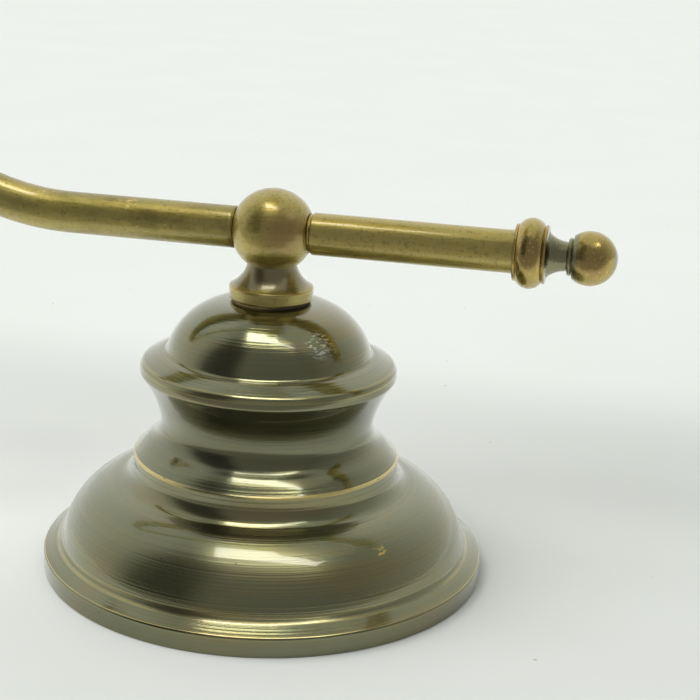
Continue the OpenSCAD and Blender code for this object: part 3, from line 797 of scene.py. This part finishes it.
LOOKS = {
    "canopy": canopy_bronze(),
    "tube": antique_brass(
        "antique_brass_tube", 260, 1500, dull=0.37, warm=0.06,
        nicks=(
            ((-62.4, -3.0, 89.3), 2.0), ((-56.8, -2.9, 88.3), 2.2), ((-34.9, -2.8, 87.8), 3.2),
            ((-31.7, -4.8, 82.2), 1.2), ((-25.1, -4.9, 82.9), 1.4),
        ),
    ),
    "stub": antique_brass("antique_brass_stub", 260, 1500, warm=0.54),
    "turned": antique_brass("antique_brass_turned", 2600, 40),
    "neck": antique_brass("antique_brass_neck", 2600, 40, dull=0.24, tarnish=(70.4, 77)),
    "ball": antique_brass(
        "antique_brass_ball", 2600, 40, dull=0.3, warm=0.36, upright=True, blush_and_painted_reflection=(((5.0, -8.0, 85.0), 8.0),)
    ),
    "finial": antique_brass(
        "antique_brass_finial", 2200, 40, dull=0.18, pitted=0.8, polished=((56.6, 64.9), (71.2, 80.4)),
        blush_and_painted_reflection=(((61.4, -7.6, 85.4), 5.5), ((75.2, -6.0, 83.8), 5.2)),
    ),
    "bright": bright_brass(),
    "steel": plated_steel(),
    "fibre": fibre(),
    "sleeve": sleeving("dark_sleeve", (0.012, 0.012, 0.013), (0.035, 0.035, 0.036)),
    "brown": sleeving("lead_brown", (0.09, 0.035, 0.012), (0.13, 0.05, 0.018)),
    "blue": sleeving("lead_blue", (0.01, 0.05, 0.30), (0.02, 0.08, 0.38)),
    "green": earth_insulation(),
    "porcelain": porcelain(),
    "opal": opal_glass(),
    "pearl": pearl_glass(),
    "bulb": bulb_metal(),
}
SHAPES = {"arm": swan_neck_shape(), "core": core_shape(), "grooves": groove_shape()}


def grooved(mesh, look, depth, starts, turns_per_mm, sharpness=1.0):
    return shaped(
        mesh, SHAPES["grooves"], look, Depth=depth * MM, Starts=float(starts),
        Turns_per_Metre=turns_per_mm / MM, Sharpness=sharpness,
    )


# Canopy, neck and ball

def polar(centre, radius, angle):
    """The point at an angle, in degrees, on a circle."""
    turn = math.radians(angle)
    return (centre[0] + radius * math.cos(turn), centre[1] + radius * math.sin(turn))


def bearing(start, end):
    """Angle, in degrees, of the line from start to end, and its length."""
    across, up = end[0] - start[0], end[1] - start[1]
    return math.degrees(math.atan2(up, across)), math.hypot(across, up)


def canopy_line(depth):
    """The canopy's section at a depth below its outer face, from the rim to the top."""
    foot_a = math.degrees(math.asin((LIP_SLOPE[1][1] + 0.4 - BELL_C[1]) / BELL_ROUND))
    cove_z = BELL_C[1] + math.sqrt((BELL_ROUND + COVE_R) ** 2 - (RISER_R + COVE_R - BELL_C[0]) ** 2)
    cove_c = (RISER_R + COVE_R, cove_z)
    bell_top_a, _ = bearing(BELL_C, cove_c)
    brim_in, brim_up = BRIM_C[0] - WAIST_R, BRIM_C[1] - FLARE_Z
    flare_r = (brim_in ** 2 + brim_up ** 2 - BRIM_ROUND ** 2) / (2 * (brim_in + BRIM_ROUND))
    flare_c = (WAIST_R + flare_r, FLARE_Z)
    flare_a, _ = bearing(flare_c, BRIM_C)
    shoulder_c = polar(SHOULDER_FOOT, -SHOULDER_ROUND, SHOULDER_FOOT_A)
    reach, flare_reach = SHOULDER_ROUND + SCOTIA_R, flare_r - SCOTIA_R
    base_a, apart = bearing(shoulder_c, flare_c)
    lean = math.acos((reach ** 2 + apart ** 2 - flare_reach ** 2) / (2 * reach * apart))
    shoulder_top_a = base_a + math.degrees(lean)
    scotia_c = polar(shoulder_c, reach, shoulder_top_a)
    waist_a, _ = bearing(flare_c, scotia_c)
    dome_cove_z = DOME_FOOT_Z + DOME_COVE_R
    dome_in = math.sqrt((DOME_ROUND + DOME_COVE_R) ** 2 - (dome_cove_z - DOME_C[1]) ** 2)
    dome_cove_c = (DOME_C[0] + dome_in, dome_cove_z)
    dome_foot_a, _ = bearing(DOME_C, dome_cove_c)
    if depth:
        lip = [(RIM_R - depth, LIP_H - depth), (LIP_SLOPE[1][0] - depth, LIP_SLOPE[1][1] - 0.5 * depth)]
        crease = [(RISER_R - depth, SHOULDER_FOOT[1] - 0.35 - depth)]
        brim = [(BRIM_EDGE[0] - depth, BRIM_EDGE[1] - depth), (BRIM_INNER[0], BRIM_INNER[1] - depth)]
    else:
        lip = arc((RIM_R - LIP_ROUND, LIP_H - LIP_ROUND), LIP_ROUND, 0, 55, 11) + [*LIP_SLOPE]
        crease = arc(CREASE_BEAD_C, CREASE_BEAD_R, -30, 80, 24)
        brim = [BRIM_WALL_TOP, BRIM_EDGE, BRIM_INNER]
    return [
        (RIM_R - depth, 0),
        *lip,
        *arc(BELL_C, BELL_ROUND - depth, foot_a + 2, bell_top_a, 2),
        *arc(cove_c, COVE_R + depth, 180 + bell_top_a, 180, 5),
        *crease,
        *arc(shoulder_c, SHOULDER_ROUND - depth, SHOULDER_FOOT_A + 3, shoulder_top_a - 2, 2),
        *arc(scotia_c, SCOTIA_R + depth, 180 + shoulder_top_a, waist_a, 6),
        *arc(flare_c, flare_r + depth, waist_a - 2, flare_a, 2),
        *arc(BRIM_C, BRIM_ROUND - depth, flare_a - 170, 0, 8),
        *brim,
        *arc(dome_cove_c, DOME_COVE_R + depth, 268, 180 + dome_foot_a, 12),
        *arc(DOME_C, DOME_ROUND - depth, dome_foot_a + 3, 90, 2),
    ]


def make_canopy():
    hole = NIPPLE_R + 0.2
    line = canopy_line(0) + [(hole, CANOPY_TOP), (hole, CANOPY_TOP - SHEET_T)] + canopy_line(SHEET_T)[::-1]
    settle(turned("canopy", eased(line, 0.38), 224), "canopy", LOOKS["canopy"])
    washer = [
        (NIPPLE_R + FIT, CANOPY_TOP), (FLANGE_R - 0.8, CANOPY_TOP),
        (FLANGE_R - 0.8, CANOPY_TOP + WASHER_T), (NIPPLE_R + FIT, CANOPY_TOP + WASHER_T),
    ]
    settle(turned("washer", eased(washer, 0.12)), "friction_washer", LOOKS["fibre"])


def make_neck():
    seat_r = BALL_R + 0.02
    bore = NIPPLE_R + FIT
    throat = math.degrees(math.acos((NECK_ARC_C[0] - NECK_ARC_R * math.cos(math.radians(12.2))) / seat_r))
    line = [
        (bore, NECK_Z0), (FLANGE_R - 0.45, NECK_Z0), (FLANGE_R - 0.1, NECK_Z0 + 0.35),
        (FLANGE_R, NECK_Z0 + 2.8),
        *arc(NECK_ARC_C, NECK_ARC_R, 243.7, 192.2),
        *arc((0, BALL_Z), seat_r, -throat, -math.degrees(math.acos(bore / seat_r))),
    ]
    settle(turned("neck", eased(line, 0.2), 192), "neck", LOOKS["neck"])


def make_ball():
    hole = THREAD_R + 0.02
    end = math.degrees(math.acos(hole / BALL_R))
    rows = eased(arc((0, 0), BALL_R, -end, end), 0.2)
    drill_r, drill_top = NIPPLE_R + FIT, 5.0
    drill = turned("drill", [(0, -12, 0), (drill_r, -12, 0), (drill_r, -drill_top, 0), (0, -drill_top, 0)], 64)
    drill.transform(QUARTER_TURN.inverted())
    mesh = bored(turned("ball", rows, 192), drill)
    write_lay(mesh, rows)
    settle(mesh, "ball", LOOKS["ball"], "arm")


def make_nipple():
    low, high, bore = 8.5, 79.8, 2.9
    fine = (low, high, NIPPLE_R, 0.125)
    rows = eased([(bore, low), (NIPPLE_R, low), (NIPPLE_R, high), (bore, high)], 0.25, fine=fine)
    mesh = turned("nipple", rows, 48, (low, high, NIPPLE_R, 0.6))
    mesh = grooved(mesh, LOOKS["bright"], 0.45, 1, 1)
    settle(mesh, "nipple", LOOKS["bright"])


# Arm and finial

def tube_end(look, shoulder, chamfer, *rest):
    """A tube's mesh from its thread past its shoulder, with the thread cut on it."""
    start = 4.2
    fine = (start, shoulder, THREAD_R, 0.1)
    line = [
        (TUBE_BORE, start), (THREAD_R - 0.3, start), (THREAD_R, start + 0.4), (THREAD_R, shoulder),
        (TUBE_R - chamfer, shoulder), (TUBE_R, shoulder + chamfer), *rest,
    ]
    mesh = turned("tube", eased(line, 0.15, fine=fine), 96, (start, shoulder, THREAD_R, 0.2))
    return grooved(mesh, look, 0.45, 1, 1)


def make_arm():
    stub = tube_end(LOOKS["stub"], STUB_SHOULDER, 0.28, (TUBE_R, FINIAL_X), (TUBE_BORE, FINIAL_X))
    settle(stub, "stub_tube", LOOKS["stub"], "arm")
    joint = ARM_SHOULDER + 0.12
    inside = TUBE_R - 0.4
    spigot = tube_end(
        LOOKS["tube"], ARM_SHOULDER, 0.06,
        (TUBE_R, joint), (inside, joint + 0.02), (inside, joint + 1), (TUBE_BORE, joint + 1),
    )
    spigot.transform(QUARTER_TURN.inverted())
    bend = shaped(
        bpy.data.meshes.new("path"), SHAPES["arm"], LOOKS["tube"], Start=joint * MM,
        Run=(CROOK_X - joint) * MM, Crook_Radius=CROOK_R * MM, Head_Run=(CROOK_X + CAP_X) * MM,
        Tube_Radius=TUBE_R * MM,
    )
    wall = placeholder(outward(bend), "wall")
    step = wall.modifiers.new("wall", "SOLIDIFY")
    step.thickness = (TUBE_R - TUBE_BORE) * MM
    step.offset = -1
    arm = evaluated(wall)
    end = [
        (TUBE_BORE, CAP_X), (THREAD_R, CAP_X), (THREAD_R, CAP_X + 7.6), (THREAD_R - 0.3, CAP_X + 8),
        (TUBE_BORE, CAP_X + 8),
    ]
    rows = eased(end, 0.15, fine=(CAP_X, CAP_X + 7.6, THREAD_R, 0.1))
    thread = grooved(turned("end", rows, 64, (CAP_X, CAP_X + 7.6, THREAD_R, 0.3)), LOOKS["tube"], 0.45, 1, 1)
    thread.transform(Matrix.Translation((0, 0, 2 * CROOK_R * MM)) @ QUARTER_TURN)
    settle(merged(arm, spigot, thread), "arm_tube", LOOKS["tube"], "ball")


def make_finial():
    lip_r, neck_curve, neck_x = 6.6, 6.9, FINIAL_X + 12.5
    low, high = FINIAL_X + 0.9, FINIAL_X + 6.7
    rise, half = BEAD_R - 6.65, (high - low) / 2
    bead = (half ** 2 + rise ** 2) / (2 * rise)
    spread = math.degrees(math.asin(half / bead))
    hollow = [
        (3.35 + neck_curve - math.sqrt(neck_curve ** 2 - (neck_x - x) ** 2), x)
        for x in np.linspace(FINIAL_X + 8.2, FINIAL_X + 12.2, 12)
    ]
    spigot_r = TUBE_BORE - 0.02
    line = [
        (0, FINIAL_X - 7), (spigot_r - 0.48, FINIAL_X - 7), (spigot_r, FINIAL_X - 6.5),
        (spigot_r, FINIAL_X), (5.9, FINIAL_X), (lip_r, FINIAL_X + 0.2), (lip_r, FINIAL_X + 0.7), (6.35, low),
        *arc((BEAD_R - bead, (low + high) / 2), bead, -spread, spread, 5),
        (6.4, high + 0.1), (6.8, high + 0.3), (6.8, high + 0.8), (6.2, high + 1), (5.55, high + 1.05),
        *hollow,
        (4.1, FINIAL_X + 12.3), (4.35, FINIAL_X + 12.6), (4.35, FINIAL_X + 13.1), (4.1, FINIAL_X + 13.4),
        *arc((0, FINIAL_X + 17.3), KNOB_R, -37, 87),
        (0, FINIAL_X + 17.3 + KNOB_R),
    ]
    rows = eased(line, 0.15, 22)
    settle(turned("finial", rows, 160), "finial", LOOKS["finial"], "arm")


def make_collar():
    line = [
        (TUBE_R + 0.02, CAP_X - 5.4), (6.2, CAP_X - 5.4), (6.7, CAP_X - 5.1), (6.7, CAP_X - 4.6),
        *arc((5.4, CAP_X - 2.8), 2.1, -50, 50, 8),
        (6.9, CAP_X - 1), (7.2, CAP_X - 0.7), (7.2, CAP_X - 0.02), (TUBE_R + 0.02, CAP_X - 0.02),
    ]
    settle(turned("collar", eased(line, 0.12), 96), "arm_collar", LOOKS["turned"], "head")


# Lampholder, gallery, shade and bulb

def make_holder():
    dome_c = (HOLDER_R - HOLDER_DOME_R, CAP_X + 17)
    bore = THREAD_R + 0.02
    cap = [
        (bore, CAP_X), (7.6, CAP_X), (8, CAP_X + 0.4), (8, CAP_X + 5.4),
        *arc(dome_c, HOLDER_DOME_R, -88, 0),
        (HOLDER_R, SKIRT_X[0] - 2.6), (HOLDER_R + 0.7, SKIRT_X[0] - 2.2),
        (HOLDER_R + 0.7, SKIRT_X[0] - 0.1), (HOLDER_R - 1, SKIRT_X[0] - 0.1),
        *arc(dome_c, HOLDER_DOME_R - 1, 0, -88),
        (bore, CAP_X + 7),
    ]
    settle(turned("cap", eased(cap, 0.2), 160), "holder_cap", LOOKS["turned"], "head")
    skirt = [
        (HOLDER_R - 1, SKIRT_X[0]), (HOLDER_R + 0.7, SKIRT_X[0]), (HOLDER_R + 0.7, SKIRT_X[0] + 2),
        (HOLDER_R, SKIRT_X[0] + 2.5), (HOLDER_R, GALLERY_X), (18, GALLERY_X), (18, SKIRT_X[1] - 0.4),
        (17.6, SKIRT_X[1]), (16.8, SKIRT_X[1]), (16.8, GALLERY_X - 1), (HOLDER_R - 1, GALLERY_X - 1),
    ]
    settle(turned("skirt", eased(skirt, 0.2), 160), "holder_skirt", LOOKS["turned"], "head")
    top = SKIRT_X[1]
    shell = [
        (13.3, INSERT_FACE), (14.2, INSERT_FACE), (14.2, top - 1), (15.6, top - 0.6), (15.6, top), (13.3, top),
    ]
    rows = eased(shell, 0.15, fine=(INSERT_FACE, top - 1, 14.2, 0.35))
    mesh = turned("shell", rows, 128, (INSERT_FACE + 2, top - 2, 14.2, 2))
    mesh = grooved(mesh, LOOKS["bright"], 0.5, 1, 1 / 3.62)
    settle(mesh, "thread_shell", LOOKS["bright"], "head")


def make_gallery():
    cup = GALLERY_R - CUP_C[0]
    line = [
        (18.05, GALLERY_X),
        *arc(CUP_C, cup, -90, 0),
        (GALLERY_R, CUP_END - 1.8), (GALLERY_R + 0.9, CUP_END - 1.4), (GALLERY_R + 0.9, CUP_END - 0.4),
        (GALLERY_R + 0.5, CUP_END), (GALLERY_R - GALLERY_T, CUP_END),
        *arc(CUP_C, cup - GALLERY_T, 0, -90),
        (18.05, GALLERY_X + GALLERY_T),
    ]
    rows = eased(line, 0.2)
    cup_mesh = turned("gallery", rows, 192)
    boss = [(1.55, 0), (2.7, 0), (2.7, 2.3), (1.55, 2.3)]
    bosses = []
    for turn in SCREW_TURNS:
        out = Matrix.Rotation(math.radians(turn), 4, "Z") @ Matrix.Translation((0, 0, SCREW_X * MM)) @ QUARTER_TURN
        drill = turned("drill", [(0, 26, 0), (1.55, 26, 0), (1.55, 34, 0), (0, 34, 0)], 48)
        drill.transform(out)
        cup_mesh = bored(cup_mesh, drill)
        ring = turned("boss", eased(boss, 0.2), 64)
        ring.transform(out @ Matrix.Translation((0, 0, (GALLERY_R - 0.5) * MM)))
        bosses.append(ring)
    write_lay(cup_mesh, rows)
    settle(merged(cup_mesh, *bosses), "gallery", LOOKS["turned"], "head")
    low, high = GALLERY_X + GALLERY_T, GALLERY_X + GALLERY_T + 4.6
    band = eased([(18.05, low), (21.4, low), (21.4, high), (18.05, high)], 0.25, fine=(low, high, 21.4, 0.5))
    mesh = turned("ring", band, 240, (low, high, 21.4, 0.3))
    mesh = grooved(mesh, LOOKS["turned"], 0.75, 12, 0, 5.0)
    settle(mesh, "shade_ring", LOOKS["turned"], "head")
    for number, turn in enumerate(SCREW_TURNS, 1):
        screw = [
            (0, 26.65), (1, 26.65), (1.5, 27.1), (1.5, 33), (3.1, 33), (3.6, 33.5), (3.6, 36.6),
            (3.1, 37.1), (1.6, 37.4), (0, 37.5),
        ]
        rows = eased(screw, 0.15, 12, fine=(33.5, 36.6, 3.6, 0.3))
        mesh = grooved(turned("screw", rows, 144, (33.6, 36.5, 3.6, 0.3)), LOOKS["turned"], 0.3, 24, 0)
        out = Matrix.Rotation(math.radians(turn), 4, "Z") @ Matrix.Translation((0, 0, SCREW_X * MM)) @ QUARTER_TURN
        node = f"thumb_screw_{number}"
        settle(mesh, node, LOOKS["turned"], PLACES["head"] @ out)


def shade_line(depth):
    start = SHADE_X[0]
    return [
        (26.6 - depth, start + 12),
        *curve((26.6 - depth, start + 14), (28 - depth, start + 19), (45 - depth, start + 22 + depth),
               (49 - depth, start + 40), 24),
        *curve((49.3 - depth, start + 43), (53 - depth, start + 62), (53 - depth, start + 78),
               (MOUTH_R - depth, SHADE_X[1]), 28),
    ]


def make_shade():
    start = SHADE_X[0]
    line = [
        (24.4, start), (27.6, start), (28.2, start + 0.7), (28.2, start + 2.3), (27.6, start + 3.2),
        (26.6, start + 3.8),
        *shade_line(0),
        *shade_line(GLASS_T)[::-1],
        (24, start + 0.6),
    ]
    settle(turned("shade", eased(line, 0.7), 224), "glass_shade", LOOKS["opal"], "head")


def globe_line(depth):
    radius = GLOBE_R - depth
    start = BULB_X[1]
    low = math.radians(-46)
    foot = (radius * math.cos(low), GLOBE_X + radius * math.sin(low))
    neck = curve((12.6 - depth, start - 1), (12.7 - depth, start + 5), (13.8 - depth, start + 8), foot, 12)
    return neck + arc((0, GLOBE_X), radius, -44, 88, 4) + [(0, GLOBE_X + radius)]


def make_bulb():
    mesh = turned("globe", globe_rows(), 160)
    settle(mesh, "bulb_glass", LOOKS["pearl"], "head")
    low, high = BULB_X
    cap = [
        (0, low), (9, low), (BULB_CAP_R, low + 2.5), (BULB_CAP_R, high), (12.65, high),
        (12.65, high - 1.2), (0, high - 1.2),
    ]
    rows = eased(cap, 0.3, fine=(low + 2.5, high, BULB_CAP_R, 0.3))
    mesh = turned("cap", rows, 128, (low + 3.5, high - 3, BULB_CAP_R, 2))
    mesh = grooved(mesh, LOOKS["bulb"], 0.8, 1, 1 / 3.62)
    settle(mesh, "bulb_cap", LOOKS["bulb"], "head")


def globe_rows():
    """The globe's wall: the outer line from its crown to the neck, and back along the inner one."""
    outer = [(*point, 0) for point in globe_line(0)][::-1]
    inner = [(*point, 0) for point in globe_line(1)]
    return outer + inner


# Wiring

def make_leads():
    pitch, start_x, pole_z, foot_r, top = 8.0, 10.5, 7.0, 1.04, 10.8
    for node, pole, turn, colour in (
        ("lead_live", -1, 240, "brown"), ("lead_neutral", 1, 120, "blue"), ("lead_earth", 0, 0, "green"),
    ):
        y = pole * pitch
        foot = (foot_r * math.cos(math.radians(turn)), foot_r * math.sin(math.radians(turn)))
        path = [
            (start_x + 6, y, pole_z),
            *curve((start_x, y, pole_z), (5.5, 0.9 * y, 6.2), (*foot, 1.5), (*foot, 9.2), 24),
            (*foot, top),
        ]
        data = bpy.data.curves.new(node, "CURVE")
        data.dimensions = "3D"
        spline = data.splines.new("POLY")
        spline.points.add(len(path) - 1)
        for point, spot in zip(spline.points, path):
            point.co = (*(c * MM for c in spot), 1)
        mesh = shaped(data, SHAPES["core"], LOOKS[colour], Core_Radius=0.9 * MM)
        settle(outward(mesh), node, LOOKS[colour])


def make_small_parts():
    for node in ("wall_bracket", "canopy_washer", "terminal_screws", "block_screws"):
        machined(node, LOOKS["steel"])
    for node in (
        "bracket_nuts", "canopy_nut", "terminal_sleeves", "earth_washer", "earth_screw", "holder_screws",
        "centre_contact", "bulb_contact",
    ):
        machined(node, LOOKS["bright"], 0.15)
    for node in ("terminal_block", "holder_insert"):
        machined(node, LOOKS["porcelain"], 0.35)
    for node in ("base_sleeve", "arm_sleeve"):
        sleeve = frame["nodes"][node].data
        sleeve.materials.clear()
        sleeve.materials.append(LOOKS["sleeve"])


# Camera, floor and light

def clear_factory_scene():
    for thing in list(bpy.data.objects):
        if thing.name in ("Cube", "Camera", "Light"):
            bpy.data.objects.remove(thing)


def make_camera():
    """A camera that puts AIM at AIM_PX in a square picture."""
    turn, tilt, roll = (math.radians(a) for a in (CAMERA_TURN, CAMERA_TILT, CAMERA_ROLL))
    back = Vector((math.sin(turn) * math.cos(tilt), -math.cos(turn) * math.cos(tilt), math.sin(tilt)))
    level = Vector((math.cos(turn), math.sin(turn), 0))
    upward = back.cross(level)
    right = math.cos(roll) * level + math.sin(roll) * upward
    up = math.cos(roll) * upward - math.sin(roll) * level
    middle = PHOTO_SIDE / 2
    ray = ((AIM_PX[0] - middle) / FOCAL_PX) * right - ((AIM_PX[1] - middle) / FOCAL_PX) * up - back
    data = bpy.data.cameras.new("photo_camera")
    data.sensor_width = SENSOR
    data.sensor_fit = "HORIZONTAL"
    data.lens = SENSOR * FOCAL_PX / PHOTO_SIDE
    data.clip_start = 0.01
    data.clip_end = 20
    camera = placeholder(data, "photo_camera")
    camera.location = AIM - ray.normalized() * CAMERA_REACH
    camera.rotation_mode = "QUATERNION"
    axes = Matrix((right, up, back)).transposed()
    camera.rotation_quaternion = axes.to_quaternion()
    bpy.context.scene.camera = camera


BACKDROP = (0.85, 0.87, 0.84)
CEILING = (0.42, 0.43, 0.42)
# The room's brightness round the horizon, by the angle from the camera's side, in degrees
ROOM = (
    (-180, 0.80), (-105, 0.78), (-80, 0.60), (-70, 0.36), (-62, 0.14), (-50, 0.08), (-30, 0.08),
    (-15, 0.26), (45, 0.25), (66, 0.24), (90, 0.32), (112, 0.42), (140, 0.64), (165, 0.82), (180, 0.82),
)
LAMP_AT = Vector((0.12, -0.14, 1.0))
LAMP_SIZE = (0.78, 0.30)
LAMP_WATTS = 4.4
FILL_FROM = Vector((-0.62, -0.35, 0.80))
FILL_WIDTH = 75
FILL_LEVEL = 2.3


def make_room():
    """A room whose far side is a pale sweep and whose near side, behind the camera, is dark."""
    world = bpy.data.worlds.new("room")
    bpy.context.scene.world = world
    world.use_nodes = True
    room = Tree(world.node_tree)
    x, y, z = room.split(room.add("ShaderNodeTexCoord", out="Generated"))
    round_about = room.maths("ARCTAN2", x, -y) / math.tau + 0.5
    stops = [(angle / 360 + 0.5, level) for angle, level in ROOM]
    walls = room.add("ShaderNodeValToRGB", {"stops": stops}, {"Fac": round_about})
    tinted = room.blend(1.0, walls, (1.0, 1.02, 0.98), "MULTIPLY")
    light = room.blend(room.step(z, 0.82, 0.97), tinted, CEILING)
    seen = room.add("ShaderNodeLightPath", out="Is Camera Ray")
    background = world.node_tree.nodes["Background"]
    room.join(background.inputs["Color"], room.blend(seen, light, BACKDROP))
    background.inputs["Strength"].default_value = 1.0


def make_lamps():
    """A long lamp overhead that shows in the metal, and a broad one that lights the paper."""
    data = bpy.data.lights.new("strip_lamp", "AREA")
    data.shape = "RECTANGLE"
    data.size, data.size_y = LAMP_SIZE
    data.energy = LAMP_WATTS
    data.color = (1.0, 0.99, 0.95)
    lamp = placeholder(data, "strip_lamp")
    lamp.location = LAMP_AT
    lamp.visible_diffuse = False
    data = bpy.data.lights.new("broad_lamp", "SUN")
    data.angle = math.radians(FILL_WIDTH)
    data.energy = FILL_LEVEL
    lamp = placeholder(data, "broad_lamp")
    lamp.location = FILL_FROM
    lamp.rotation_euler = (-FILL_FROM).to_track_quat("-Z", "Y").to_euler()
    lamp.visible_glossy = False


def make_floor():
    """Pale paper with a few specks and painted shadows. Its near end, out of view, shows dark in the metal."""
    bpy.ops.mesh.primitive_plane_add(size=14)
    floor = bpy.context.object
    floor.name = "floor"
    look = Look("paper", Specular_IOR_Level=0.2)
    where = look.place
    _, y, _ = look.split(where)
    tone = look.blend(look.noise(where, 14, detail=3), (0.84, 0.87, 0.83), (0.88, 0.895, 0.87))
    # Painted shadow: a band across the paper behind the canopy, a soft patch to its left and a darkening towards the
    # near edge.
    shade = look.step(y, 0.03, 0.08) * (1 - look.step(y, 0.11, 0.19))
    tone = look.blend(shade * 0.14, tone, (0.0, 0.0, 0.0))
    tone = look.blend(look.spot(where, (-84, 40, 0), 45) * 0.10, tone, (0.0, 0.0, 0.0))
    tone = look.blend(look.step(-y, 0.005, 0.06) * 0.09, tone, (0.0, 0.0, 0.0))
    tone = look.blend(look.dots(where, 60, 0.035) * 0.5, tone, (0.35, 0.34, 0.30))
    look.finish(Base_Color=tone, Roughness=0.8)
    dark = look.add("ShaderNodeEmission", values={"Color": (0.30, 0.30, 0.285)})
    near = look.step(-y, 0.085, 0.115) * look.add("ShaderNodeLightPath", out="Is Glossy Ray")
    paper = Sock(look, look.shader.outputs[0])
    both = look.add("ShaderNodeMixShader", values={0: near, 1: paper, 2: dark})
    sink = look.group.nodes["Material Output"]
    look.join(sink.inputs["Surface"], both)
    floor.data.materials.append(look.material)


clear_factory_scene()
make_camera()
make_room()
make_lamps()
make_floor()
make_canopy()
make_neck()
make_ball()
make_nipple()
make_arm()
make_finial()
make_collar()
make_holder()
make_gallery()
make_shade()
make_bulb()
make_leads()
make_small_parts()
bpy.context.scene.view_settings.view_transform = "Standard"
